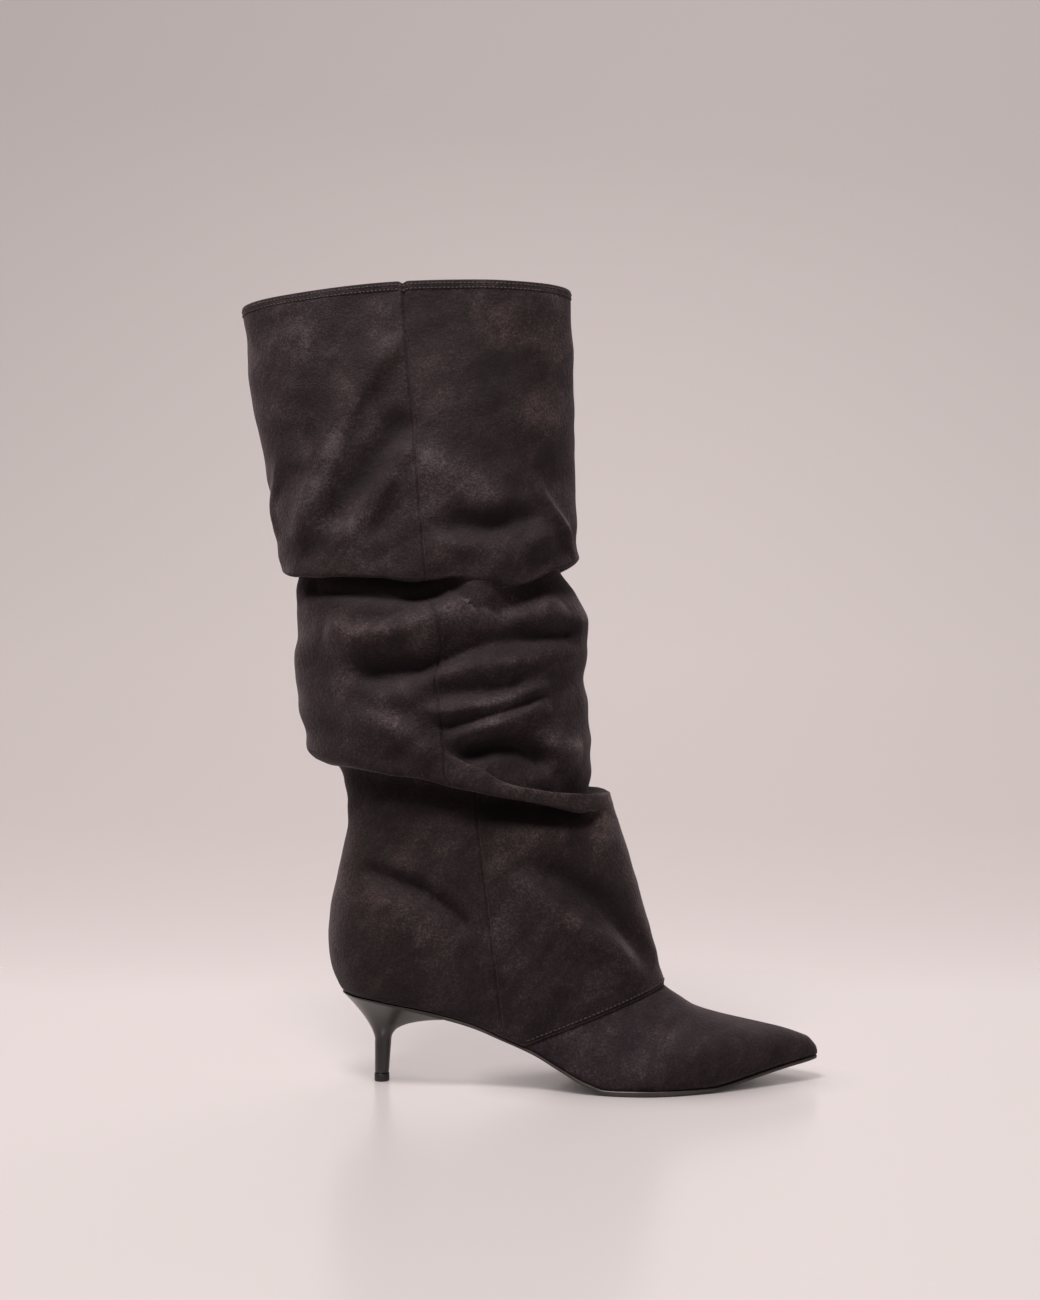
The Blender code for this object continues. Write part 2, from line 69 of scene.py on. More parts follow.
# Sizes of the upper, as in the part
WALL = 0.0014
LAP_STEP = 0.0012
SHAFT_HEIGHT = 0.385
SHAFT_DEPTH = 0.164
SHAFT_WIDTH = 0.085
SIDE_SEAM_FOOT = 0.0888
VAMP_SEAM_FOOT = 0.099
VAMP_SEAM_RIDGE = 0.1765
TOE_STIFFENER = 0.010
VAMP_EDGE_LEAD = 0.8
VAMP_ROUND_AT_SEAM = 0.9
VAMP_ROUND_AT_TOE = 0.74
VAMP_SWELL = 0.05
FOLD_FLAT = 0.003
FOLD_RISE = 0.007
FOLD_LIFT = 1.2
GAP = 0.0003

# Sizes of the heel, as in the part
HEEL_BREAST = 0.056
STEM_DEPTH = 0.0078
STEM_WIDTH = 0.0084
STEM_HEIGHT = 0.0235
FLARE_HEIGHT = 0.0335
FLARE_SPREAD = 1.7
TIP_HEIGHT = 0.0043
TIP_MARGIN = 0.0004

HEEL_BACK_X = -HEEL_SETBACK
TOE_X = HEEL_BACK_X + SOLE_LENGTH
BREAST_X = HEEL_BACK_X + HEEL_BREAST

# Columns of the part's own leg, which place the seam over the vamp
COLUMNS = 48
SEAM_COLUMN = 12
CORNER_COLUMN = 13
LAP_COLUMNS = 4

# The folds and the shaft's edges
FOLD_ROUND = 0.0032
MOST_ROUND = 0.48
MOST_ROLL_ROUND = 0.3
BRIDGE_START = 0.86
NECK_HEIGHT = 0.016
CURL_HEIGHT = 0.0022
CURL_DEPTH = 0.0008
LAP_UNDER = 0.006
LAP_SINK = 0.0006
COLLAR_NOTCH = 0.0012
COLLAR_NOTCH_WIDTH = 0.0012
COLLAR_ANGLES = (45, 90, 135)

# The hem under the collar: its rows of stitches, how far it stands out, and the share of it where that ends
COLLAR_ROWS = (0.0012, 0.0036)
COLLAR_SWELL = 0.0004
HEM_EDGE = 0.85
HEM_BLEND = 0.3

# Rows of stitches. share: how much of the pitch one stitch takes up
Stitch = namedtuple("Stitch", "pitch share width proud")
COLLAR_STITCH = Stitch(0.0022, 0.78, 0.0008, 0.0004)
VAMP_STITCH = Stitch(0.0025, 0.72, 0.0007, 0.0004)
TOPSTITCH_HEIGHT = 0.0025
TOPSTITCH_END = 0.2
TOPSTITCH_PLACES = 200
FOOT_RINGS = 40
SEAM_RING = 3

# The two side seams, as places round the leg
SIDE_SEAMS = (0.25, 0.75)
SEAM_GROOVE = 0.0011
SEAM_GROOVE_WIDTH = 0.0007
SEAM_SWELL = 0.0003
SEAM_SWELL_AWAY = 0.0014
SEAM_SWELL_WIDTH = 0.0009
SEAM_LEVEL_END = 0.8
SEAM_LEVEL_BLEND = 0.5

# The lining's loft, which fills the slouch
SLOUCH_LOW = 0.08
SLOUCH_HIGH = 0.40
SLOUCH_BLEND = 0.03
LINING_LOFT = 0.0018
LOFT_OFF_RINGS = 2
LOFT_BLEND_RINGS = 5

# Soft waves of the suede, and the long slanted wrinkles, which are shallower below and above the slouch
Wave = namedtuple("Wave", "depth size seed")
SHAFT_WAVES = (Wave(0.0010, 0.045, 3.0), Wave(0.0004, 0.012, 9.0))
VAMP_WAVE = Wave(0.0005, 0.035, 5.0)
WRINKLE_SEED = 5.0
WRINKLE_RUN = 0.94
WRINKLE_RISE = 0.34
WRINKLE_LENGTH = 0.042
WRINKLE_BREADTH = 0.0125
WRINKLE_DEPTH = 0.0017
WRINKLE_LOW = 0.12
WRINKLE_HIGH = 0.30
WRINKLE_BLEND = 0.05
WRINKLE_LEAST = 0.25

# Where the shaft lies calm: over its foot and under its collar
CALM_FOOT = 0.012
CALM_COLLAR = 0.010
CALM_AT_COLLAR = 0.15

# The vamp's spacing of rings, and where it lies calm: beside the seam, over the sole and at the toe
VAMP_SPACING = 1.15
VAMP_CALM_SEAM = 0.1
VAMP_CALM_SOLE = 0.006
VAMP_CALM_TOE = 0.06

# The sole and the heel
SOLE_EDGE = 0.0007
INSOLE_EDGE = 0.0009
PLATE_GATHER = 0.35
SEAT_EDGE = 0.0003
SEAT_OVER_SOLE = 0.00004
STEM_SPREAD = 1.17
STEM_LEAN = 0.0007
STEM_BEVEL = 0.0003
STEM_FOOT = 0.93
SOLE_UNDER_SEAT = 0.0006
ROCKER_START = 0.38
ROCKER_LOWEST = 0.635
ROCKER_REACH = 0.115
ROCKER_RISE = 0.0009

# The top piece's rings from the floor up, as heights and shares of its spread
TIP_BEVEL = 0.0004
TIP_RINGS = (
    (0.0, 0.90),
    (0.3 * TIP_BEVEL, 0.96),
    (TIP_BEVEL, 1.0),
    (TIP_HEIGHT - TIP_BEVEL, 1.0),
    (TIP_HEIGHT, 0.94),
)

# How finely the pieces are drawn
EVEN_COLUMNS = 216
SEAM_STEPS_MM = (0.35, 0.75, 1.25, 1.9, 2.7, 3.8)
SEAM_CLEAR = 1.15
LOWER_STEPS = 78
LOWER_TRIES = 12
ROLL_STEPS = 10
MIDDLE_STEPS = 72
CUFF_STEPS = 62
HEM_START = 0.962
HEM_STEPS = 11
TURN_STEPS = 7
VAMP_STEPS = 110
VAMP_COLUMNS = 132
PLATE_STATIONS = 220
PLATE_EDGE_STEPS = 4
SEAT_STEPS = 56
BREAST_STEPS = 24
FLARE_STEPS = 44
STEM_STEPS = 10
TIP_STEPS = 64

# The suede's look. A stop is a place on a ramp and its colour; a share is how much a layer counts
Noise = namedtuple("Noise", "scale detail roughness distortion", defaults=(3.0, 0.55, 0.0))
SUEDE_LAYERS = (
    (Noise(24.0, 9.0, 0.66, 0.8), 0.28),
    (Noise(62.0, 8.0, 0.66, 1.1), 0.25),
    (Noise(900.0, 2.0, 0.70), 0.42),
)
STREAKS = Noise(1.0, 6.0, 0.62, 0.6)
STREAK_SCALES = (22, 34, 62)
STREAK_SLANT = 50
STREAK_STOPS = ((0.44, (0, 0, 0)), (0.56, (1, 1, 1)))
STREAK_SHARE = 0.055
NAP_AND_PAINTED_LIGHT_SHARE = 0.095
SUEDE_TONES = (
    (0.400, (0.0032, 0.0016, 0.0020)),
    (0.478, (0.0082, 0.0045, 0.0053)),
    (0.562, (0.0190, 0.0125, 0.0134)),
    (0.668, (0.0530, 0.0415, 0.0400)),
)
TINT_NOISE = Noise(11.0)
TINT_STOPS = ((0.36, (1.06, 0.99, 0.88)), (0.62, (0.98, 0.94, 1.07)))
SUEDE_BUMPS = ((Noise(1400.0, 2.0, 0.65), 0.0005, 0.9), (Noise(420.0, 3.0, 0.6), 0.0010, 0.5))
SUEDE_INPUTS = {
    "Sheen Weight": 0.20,
    "Sheen Roughness": 0.40,
    "Sheen Tint": (0.72, 0.55, 0.59, 1),
    "Specular IOR Level": 0.20,
    "Specular Tint": (1.0, 0.86, 0.89, 1),
}
SUEDE_ROUGHNESS = 0.68

# What the plain finishes share: cloudiness, a finer unevenness, and a coat
CLOUD_PLACES = (0.35, 0.65)
CLOUD_DETAIL = 4.0
FINE_SCALE = 9
FINE_STRENGTH = 0.5
COAT_ROUGHNESS = 0.15

# The studio's sweep: its own colour and its glow, a painted light that stands in for the lamps' light on it,
# from the floor to the top; how far its painted shadow reaches round the boot; and the colour round the scene
SWEEP_START = 0.25
SWEEP_RADIUS = 1.5
SWEEP_WIDTH = 9.0
SWEEP_TOP = 4.0
SWEEP_STEPS = 48
CONTACT_SHADOW_REACH = 0.032
SWEEP_BARE = ((0.0, (0.270, 0.242, 0.240)), (0.2, (0.20, 0.175, 0.172)), (1.0, (0.20, 0.175, 0.172)))
SWEEP_GLOW = (
    (0.0, (0.330, 0.298, 0.294)),
    (0.12, (0.325, 0.287, 0.281)),
    (0.35, (0.352, 0.310, 0.303)),
    (0.8, (0.305, 0.266, 0.260)),
)
FLOOR_ROUGHNESS = 0.25
SWEEP_ROUGHENS = 0.65
WORLD_COLOR = (0.80, 0.74, 0.73, 1)
WORLD_STRENGTH = 0.11


def table(columns, *rows):
    """Rows of a table with named columns."""
    kind = namedtuple("Row", columns)
    return tuple(kind(*row) for row in rows)


FINISHES = table(
    "name dark light roughness scale bump coat",
    ("thread", (0.026, 0.018, 0.016), (0.042, 0.030, 0.027), 0.75, 900, 0.0001, 0.0),
    ("sole_paint", (0.020, 0.0148, 0.0135), (0.038, 0.029, 0.0265), 0.40, 60, 0.0001, 0.0),
    ("heel_plastic", (0.012, 0.0078, 0.0066), (0.018, 0.0122, 0.0102), 0.30, 40, 0.00003, 0.12),
    ("top_rubber", (0.011, 0.0085, 0.008), (0.016, 0.012, 0.011), 0.55, 200, 0.0001, 0.0),
    ("lining", (0.030, 0.024, 0.024), (0.048, 0.040, 0.040), 0.8, 300, 0.0002, 0.0),
)
LIGHTS = table(
    "name place target size size_y power color",
    ("key", (-0.25, -0.75, 1.75), (0.04, 0, 0.22), 0.6, 0.45, 50, (1.0, 0.97, 0.95)),
    ("fill", (0.9, -1.9, 0.7), (0.05, 0, 0.2), 1.4, 1.2, 3, (1.0, 0.95, 0.96)),
    ("back", (0.8, 0.9, 1.9), (0.8, 1.6, 0.5), 1.6, 1.0, 7, (1.0, 0.95, 0.94)),
    ("rear", (0.2, 0.95, 1.5), (0.03, 0, 0.22), 0.8, 0.6, 6, (1.0, 0.97, 0.95)),
)

# The sole's outline. along: share of the sole's length from the heel; outer and inner: shares of the width at
# the ball.
OUTLINE = table(
    "along outer inner",
    (0.000, 0.000, 0.000),
    (0.015, 0.150, 0.150),
    (0.050, 0.268, 0.265),
    (0.110, 0.338, 0.332),
    (0.190, 0.352, 0.335),
    (0.300, 0.345, 0.298),
    (0.400, 0.375, 0.300),
    (0.500, 0.455, 0.370),
    (0.600, 0.515, 0.455),
    (0.670, 0.505, 0.488),
    (0.750, 0.430, 0.460),
    (0.830, 0.310, 0.378),
    (0.900, 0.192, 0.280),
    (0.955, 0.088, 0.180),
    (0.985, 0.022, 0.105),
    (1.000, -0.040, 0.040),
)

# The foot bed's height. heel: share of the heel's height over the ball; toe: share of the toe spring
BED = table(
    "along heel toe",
    (0.000, 1.000, 0.0),
    (0.060, 0.970, 0.0),
    (0.110, 0.926, 0.0),
    (0.165, 0.870, 0.0),
    (0.220, 0.795, 0.0),
    (0.275, 0.700, 0.0),
    (0.335, 0.558, 0.0),
    (0.395, 0.412, 0.0),
    (0.455, 0.220, 0.0),
    (0.505, 0.075, 0.0),
    (0.550, 0.000, 0.0),
    (0.760, 0.000, 0.0),
    (0.800, 0.000, 0.12),
    (0.850, 0.000, 0.38),
    (0.920, 0.000, 0.72),
    (1.000, 0.000, 1.0),
)

# The vamp's ridge from the seam to the toe. instep: share of the height over the toe; nose: share of the
# toe's depth.
RIDGE = table(
    "along instep nose",
    (0.000, 0.955, 1.00),
    (0.035, 0.878, 1.00),
    (0.110, 0.741, 1.00),
    (0.200, 0.590, 1.00),
    (0.380, 0.430, 1.00),
    (0.600, 0.292, 1.00),
    (0.790, 0.172, 1.00),
    (0.930, 0.050, 0.98),
    (0.985, 0.000, 0.62),
    (1.000, 0.000, 0.25),
)

# Cross sections of the shaft. centre: share of the sole's length; depth and width: shares of the shaft's.
# The lower shaft has one, at its top.
LOWER_TOP = (0.275, 0.910, 0.894)
MIDDLE = table(
    "height centre depth width",
    (0.000, 0.244, 0.867, 1.000),
    (0.035, 0.228, 0.915, 1.015),
    (0.080, 0.221, 0.942, 1.025),
    (0.150, 0.220, 0.955, 1.030),
    (0.250, 0.216, 0.968, 1.030),
    (0.380, 0.209, 0.970, 1.010),
    (0.480, 0.202, 0.961, 0.985),
    (0.600, 0.209, 0.981, 1.000),
    (0.700, 0.213, 0.977, 1.010),
    (0.820, 0.198, 0.935, 0.985),
    (0.900, 0.180, 0.874, 0.930),
    (1.000, 0.178, 0.856, 0.890),
)
CUFF = table(
    "height centre depth width",
    (0.000, 0.184, 0.996, 1.000),
    (0.100, 0.178, 1.006, 1.000),
    (0.350, 0.166, 1.026, 0.955),
    (0.700, 0.147, 1.079, 0.870),
    (1.000, 0.134, 1.098, 0.805),
)

# The shaft's edges round the leg, from the heel (0) by the outer side (0.25) and the front (0.5).
# Each is a share of the shaft's height over the heel seat.
EDGES = table(
    "round lower_fold collar",
    (0.000, 0.318, 0.971),
    (0.125, 0.318, 0.981),
    (0.250, 0.303, 0.995),
    (0.300, 0.300, 0.998),
    (0.350, 0.302, 1.000),
    (0.400, 0.295, 1.000),
    (0.450, 0.287, 0.999),
    (0.500, 0.281, 0.997),
    (0.560, 0.287, 0.999),
    (0.640, 0.297, 1.000),
    (0.750, 0.308, 0.995),
    (0.875, 0.322, 0.981),
    (1.000, 0.318, 0.971),
)

# How far the lower shaft swells at its foot and at its top, as shares of its own height
SWELLS = table(
    "round foot top",
    (0.000, 0.56, 0.47),
    (0.125, 0.37, 0.22),
    (0.250, 0.14, 0.02),
    (0.375, 0.06, -0.02),
    (0.500, 0.03, -0.06),
    (0.625, 0.06, -0.02),
    (0.750, 0.14, 0.02),
    (0.875, 0.37, 0.22),
    (1.000, 0.56, 0.47),
)

# The folds round the leg. The pouch between them hangs over the lower shaft with its lip. Over the front its
# rim stands out, and the leg above is tucked in behind it. lip, rim and upper: shares of the shaft's height
# over the heel seat. In mm, tuck: how far the leg lies behind the rim; neck: how far the shaft under the lip
# draws in; bridge: how far the leg swells into the cuff, or draws in under it.
FOLDS = table(
    "round lip rim upper tuck neck bridge",
    (0.000, 0.325, 0.365, 0.593, 0.0, 0.0, -1.0),
    (0.060, 0.322, 0.362, 0.588, 0.0, 1.5, -6.0),
    (0.125, 0.3155, 0.360, 0.586, 0.0, 3.5, -9.0),
    (0.200, 0.306, 0.356, 0.582, 0.0, 5.5, -10.0),
    (0.240, 0.299, 0.350, 0.577, 0.3, 6.5, -9.5),
    (0.262, 0.2925, 0.337, 0.579, 2.5, 7.5, -6.5),
    (0.285, 0.2865, 0.327, 0.583, 5.0, 8.5, -1.0),
    (0.312, 0.280, 0.308, 0.583, 6.2, 9.0, 4.5),
    (0.330, 0.276, 0.301, 0.578, 6.8, 9.0, 4.2),
    (0.346, 0.272, 0.298, 0.572, 7.2, 8.5, 2.8),
    (0.362, 0.268, 0.295, 0.574, 7.6, 8.0, 1.2),
    (0.385, 0.263, 0.2925, 0.584, 7.9, 6.5, -0.5),
    (0.410, 0.259, 0.2905, 0.595, 8.2, 4.5, -1.5),
    (0.435, 0.268, 0.288, 0.600, 9.0, 1.5, 0.0),
    (0.460, 0.277, 0.286, 0.606, 10.0, 0.0, 0.0),
    (0.500, 0.279, 0.2835, 0.612, 11.6, 0.0, 0.0),
    (0.540, 0.277, 0.286, 0.606, 10.0, 0.0, 0.0),
    (0.580, 0.266, 0.290, 0.598, 8.4, 2.0, -1.0),
    (0.620, 0.266, 0.2955, 0.584, 7.2, 4.5, 0.5),
    (0.660, 0.272, 0.303, 0.572, 5.5, 6.0, 4.5),
    (0.700, 0.282, 0.322, 0.578, 3.0, 6.0, 3.0),
    (0.740, 0.295, 0.345, 0.580, 0.5, 7.0, -5.0),
    (0.800, 0.306, 0.356, 0.584, 0.0, 5.5, -9.0),
    (0.875, 0.3155, 0.360, 0.588, 0.0, 3.5, -9.0),
    (0.940, 0.322, 0.362, 0.590, 0.0, 1.5, -6.0),
    (1.000, 0.325, 0.365, 0.593, 0.0, 0.0, -1.0),
)

# Creases of each part of the shaft and each side: soft ridges (out above 0) or troughs along lines of places.
# A place is (mm along X, mm over the floor), as the camera sees it on the plane through the boot's middle.
# left and right: how broad a crease is on each side of its line, in mm, looking along it.
CREASE_COLUMNS = "out left right line"
CREASES = {
    # The cuff over the upper fold
    ("cuff", "outer"): table(
        CREASE_COLUMNS,
        (4.4, 5, 10, ((10, 408), (-2, 392), (-14, 375), (-24, 352), (-32, 330), (-40, 310), (-45, 290))),
        (-4.0, 9, 8, ((16, 368), (6, 351), (-10, 335), (-22, 318), (-31, 300))),
        (4.0, 5, 7, ((18, 350), (8, 338), (0, 325), (-8, 312), (-17, 302), (-26, 296))),
        (-2.0, 7, 7, ((10, 318), (4, 306), (-4, 296))),
        (3.4, 9, 11, ((18, 346), (30, 338), (44, 329), (58, 320), (72, 318))),
        (-3.8, 8, 5, ((34, 306), (48, 305), (60, 306), (74, 309), (88, 311))),
        (3.2, 3.5, 10, ((21, 298), (32, 294.5), (45, 292.5), (56, 291), (72, 292), (86, 298), (95, 303))),
        (1.7, 1.8, 3.5, ((23, 304), (33, 299), (46, 296.5), (58, 296.5), (70, 299), (80, 303))),
        (3.0, 2.5, 4, ((85, 330), (90, 319), (96, 310), (101, 301), (106, 291))),
        (2.2, 3, 4, ((-57, 340), (-57, 329), (-60, 317), (-58, 303))),
        (-1.8, 10, 10, ((52, 352), (64, 347), (78, 342))),
        (1.8, 12, 12, ((66, 368), (84, 366), (98, 362))),
        (1.6, 11, 11, ((-52, 418), (-44, 396), (-50, 372))),
    ),
    # Between the folds
    ("middle", "outer"): table(
        CREASE_COLUMNS,
        (-4.0, 4, 5, ((-42, 271), (-22, 269), (0, 267), (20, 267), (36, 270))),
        (3.4, 4, 7, ((72, 251), (82, 255), (91, 259), (100, 263))),
        (-6.2, 6, 6, ((-14, 222), (3, 224), (20, 227), (32, 232), (46, 238), (60, 241), (78, 244),
                      (95, 246), (111, 246))),
        (5.0, 6, 9, ((-31, 250), (-15, 244), (2, 246), (20, 250), (35, 257), (49, 264), (60, 269))),
        (2.2, 3, 7, ((18, 219), (30, 222), (45, 226), (62, 229), (78, 230))),
        (2.4, 6, 5, ((-12, 209), (0, 211), (12, 211), (21, 212))),
        (5.0, 6, 9, ((-15, 207), (-8, 200), (2, 195), (13, 190), (23, 183), (31, 176))),
        (-2.6, 5, 6, ((28, 211), (44, 214), (60, 216), (74, 220), (86, 227))),
        (3.4, 3.5, 4, ((22, 203), (35, 202), (48, 204), (60, 207), (72, 210), (82, 214), (93, 218))),
        (-2.4, 3, 4, ((28, 195), (45, 198), (60, 201), (74, 205), (88, 211))),
        (4.6, 4, 7, ((36, 184), (48, 190), (60, 195), (72, 199), (83, 204), (93, 209))),
        (-8.0, 7, 6, ((40, 180), (50, 182), (62, 184), (75, 183), (85, 178), (94, 170))),
        (5.0, 6, 8, ((88, 180), (99, 182), (110, 183))),
        (1.6, 6, 6, ((-24, 230), (-20, 208), (-15, 188))),
    ),
    # Below the lower fold
    ("lower", "outer"): table(
        CREASE_COLUMNS,
        (-4.4, 5, 8, ((-12, 117), (0, 112), (12, 108), (22, 104), (31, 98), (40, 91), (50, 80))),
        (1.4, 11, 12, ((-8, 96), (6, 91), (19, 83), (30, 72))),
        (-4.4, 8, 7, ((84, 118), (96, 113), (110, 104), (121, 96), (132, 84), (143, 71), (150, 62))),
        (4.4, 6, 10, ((70, 114), (84, 101), (100, 88), (115, 80), (128, 73), (138, 65))),
        (2.2, 7, 9, ((58, 134), (74, 134), (90, 132), (103, 127))),
        (1.6, 6, 6, ((121, 148), (122, 134), (117, 120))),
    ),
    # The side that the camera doesn't see
    ("cuff", "inner"): table(
        CREASE_COLUMNS,
        (3.0, 10, 12, ((20, 404), (4, 368), (-16, 332), (-38, 302))),
        (-3.0, 9, 9, ((30, 352), (12, 324), (-8, 298))),
        (-4.0, 7, 6, ((34, 306), (62, 303), (90, 311))),
        (3.6, 6, 8, ((20, 295), (55, 290), (92, 286))),
    ),
    ("middle", "inner"): table(
        CREASE_COLUMNS,
        (4.0, 7, 7, ((60, 267), (34, 256), (6, 244), (-24, 250))),
        (-5.4, 6, 6, ((104, 247), (66, 244), (28, 230), (-12, 222))),
        (3.0, 6, 8, ((98, 228), (60, 214), (20, 208))),
        (3.6, 8, 8, ((-14, 205), (12, 192), (34, 182))),
        (-5.0, 6, 6, ((44, 182), (66, 184), (88, 178))),
    ),
    ("lower", "inner"): table(
        CREASE_COLUMNS,
        (-3.0, 8, 9, ((-4, 113), (20, 105), (44, 92))),
        (-3.8, 8, 8, ((82, 116), (112, 102), (136, 78))),
        (3.0, 8, 9, ((74, 108), (104, 86), (132, 68))),
    ),
}
CREASE_END = 0.014
CREASE_AT_END = 0.25
NEAREST_POINTS = 4
NEAREST_SOFT = 0.01 * MM
TUCK_THAT_HIDES = 3

# Where the suede is lighter (above 0) or darker than elsewhere, placed as the creases are, in mm: its own light
# and dark patches, with painted highlights along the creases' ridges and painted shade in their troughs and
# under the two folds
NAP_AND_PAINTED_LIGHT_PATCHES = table(
    "x height spread_x spread_z light",
    # On the cuff, mostly painted highlights on its ridges and painted shade in its troughs
    (5, 404, 9, 11, 0.7),
    (-18, 374, 8, 13, 0.7),
    (-26, 350, 6, 12, 0.9),
    (-36, 318, 6, 16, 0.6),
    (-44, 410, 12, 14, 0.6),
    (-14, 305, 11, 9, 0.8),
    (28, 392, 8, 13, 0.5),
    (28, 338, 9, 12, 0.7),
    (52, 323, 14, 7, 0.6),
    (86, 366, 15, 12, 0.9),
    (66, 410, 10, 9, 0.5),
    (98, 402, 12, 20, 0.5),
    (96, 325, 6, 12, 0.5),
    (-8, 398, 11, 15, -0.5),
    (-36, 378, 9, 14, -0.7),
    (-52, 345, 7, 20, -0.4),
    (8, 358, 8, 14, -0.9),
    (-8, 334, 7, 10, -0.8),
    (58, 390, 8, 16, -0.8),
    (70, 358, 7, 7, -0.7),
    (88, 391, 6, 9, -0.9),
    (92, 346, 7, 9, -0.9),
    (56, 346, 13, 7, -0.6),
    (60, 308, 16, 5, -0.7),
    # Painted shade under the two folds, and painted highlights along the rim over the lower fold
    (-30, 271, 20, 5, -1.6),
    (6, 269, 22, 4.5, -1.6),
    (38, 270, 16, 3.5, -1.2),
    (84, 270, 14, 5, -1.0),
    (-14, 162, 22, 6, -1.2),
    (28, 153, 18, 6, -1.4),
    (48, 169, 12, 5, 0.6),
    (74, 161, 14, 4, 0.7),
    (98, 156, 14, 4, 0.6),
    (66, 145, 24, 5.5, -1.7),
    (98, 145, 10, 4.5, -1.5),
    (78, 178, 20, 6, -1.1),
    # Between the folds, painted highlights on the ridges and painted shade in the troughs
    (-16, 247, 20, 4, 0.15),
    (30, 257, 22, 4, 0.4),
    (-2, 199, 16, 5, 0.25),
    (60, 208, 22, 3, 0.6),
    (64, 196, 18, 3, 0.4),
    (104, 184, 11, 7, 0.6),
    (84, 232, 22, 5, 0.4),
    (-26, 262, 14, 6, -0.4),
    (16, 229, 24, 6, -0.8),
    (86, 245, 18, 4, -0.8),
    (60, 182, 20, 5, -0.9),
    (-34, 214, 9, 20, -0.4),
    (22, 214, 18, 3, -0.4),
    # Below the lower fold, painted highlights on the ridges and painted shade in the troughs and under the fold
    (40, 80, 70, 46, 0.38),
    (78, 126, 18, 7, 0.6),
    (-14, 100, 14, 8, 0.5),
    (26, 84, 14, 8, 0.4),
    (98, 90, 14, 8, 0.5),
    (120, 138, 6, 11, 0.6),
    (128, 62, 11, 8, 0.4),
    (14, 110, 18, 6, -0.6),
    (112, 106, 12, 8, -0.7),
    (58, 148, 22, 6, -0.5),
    (84, 66, 12, 14, -0.4),
    (-2, 138, 14, 10, -0.3),
    # On the vamp
    (168, 42, 10, 6, 0.3),
    (190, 24, 20, 9, -0.3),
    (144, 38, 8, 8, -0.3),
)
PATCH_SHIFT_INSIDE = 14
PATCH_SIDE_BLEND = 10 * MM
# How much painted highlight a ridge and painted shade a trough add to the suede's lightness, and how far out a
# point moves for the full amount
PAINTED_LIGHT_ON_CREASES = 0.36
CREASE_OF_FULL_PAINTED_LIGHT = 0.004


def mix(low, high, share):
    return low + (high - low) * share


def smooth_step(share):
    share = np.clip(share, 0.0, 1.0)
    return share * share * (3 - 2 * share)


def cubic(start, start_slope, end, end_slope, t):
    """Cubic from start to end that has the two slopes at its ends."""
    first = start * (2 * t**3 - 3 * t**2 + 1) + start_slope * (t**3 - 2 * t**2 + t)
    return first + end * (3 * t**2 - 2 * t**3) + end_slope * (t**3 - t**2)


def table_value(rows, name, place):
    """Cubic through a table's rows that never swings past them, for one place or an array of them."""
    places = np.array([row[0] for row in rows], float)
    values = np.array([getattr(row, name) for row in rows], float)
    step = np.diff(places)
    slope = np.diff(values) / step
    product = slope[:-1] * slope[1:]
    total = np.where(product > 0, slope[:-1] + slope[1:], 1.0)
    bend = np.concatenate([slope[:1], np.where(product > 0, 2 * product / total, 0.0), slope[-1:]])
    place = np.clip(place, places[0], places[-1])
    index = np.clip(np.searchsorted(places, place, side="right") - 1, 0, len(step) - 1)
    t = (place - places[index]) / step[index]
    start_bend = bend[index] * step[index]
    end_bend = bend[index + 1] * step[index]
    return cubic(values[index], start_bend, values[index + 1], end_bend, t)


def unit(vectors):
    return vectors / np.maximum(np.linalg.norm(vectors, axis=-1, keepdims=True), TINY)


def outline_curve(side, steps=24):
    """Points of one side of the sole's outline, on a smooth curve through the table's rows."""
    rows = [(row.along * SOLE_LENGTH + HEEL_BACK_X, getattr(row, side) * BALL_WIDTH) for row in OUTLINE]
    centre = 0.5 * (OUTLINE[-1].outer - OUTLINE[-1].inner) * BALL_WIDTH
    sign = 1 if side == "outer" else -1
    rows = [(rows[1][0], -rows[1][1])] + rows + [(rows[-2][0], 2 * sign * centre - rows[-2][1])]
    rows = np.array(rows)
    t = (np.arange(steps) / steps)[:, None]
    points = []
    for a, b, c, d in zip(rows, rows[1:], rows[2:], rows[3:]):
        bend = 2 * a - 5 * b + 4 * c - d
        points.append(0.5 * (2 * b + (c - a) * t + bend * t**2 + (3 * b - a - 3 * c + d) * t**3))
    return np.concatenate(points + [rows[-2:-1]])


CURVES = {side: outline_curve(side) for side in ("outer", "inner")}


def half_width(side, x):
    curve = CURVES[side]
    return np.interp(x, np.maximum.accumulate(curve[:, 0]), curve[:, 1])


def outline_walk(side, x_end, shares):
    """Places along x at shares of the outline's length from the heel's back to x_end."""
    curve = CURVES[side]
    curve = curve[curve[:, 0] <= x_end]
    length = np.concatenate([[0], np.cumsum(np.hypot(*np.diff(curve, axis=0).T))])
    return np.where(shares >= 1, x_end, np.interp(shares * length[-1], length, curve[:, 0]))


def bed_height(x):
    along = (x - HEEL_BACK_X) / SOLE_LENGTH
    heel = table_value(BED, "heel", along) * (HEEL_HEIGHT - SOLE_FOREFOOT)
    return SOLE_FOREFOOT + heel + table_value(BED, "toe", along) * TOE_SPRING


def sole_thickness(x):
    rise = table_value(BED, "heel", (x - HEEL_BACK_X) / SOLE_LENGTH)
    return mix(SOLE_FOREFOOT, SOLE_WAIST, smooth_step(rise / WAIST_RISE))


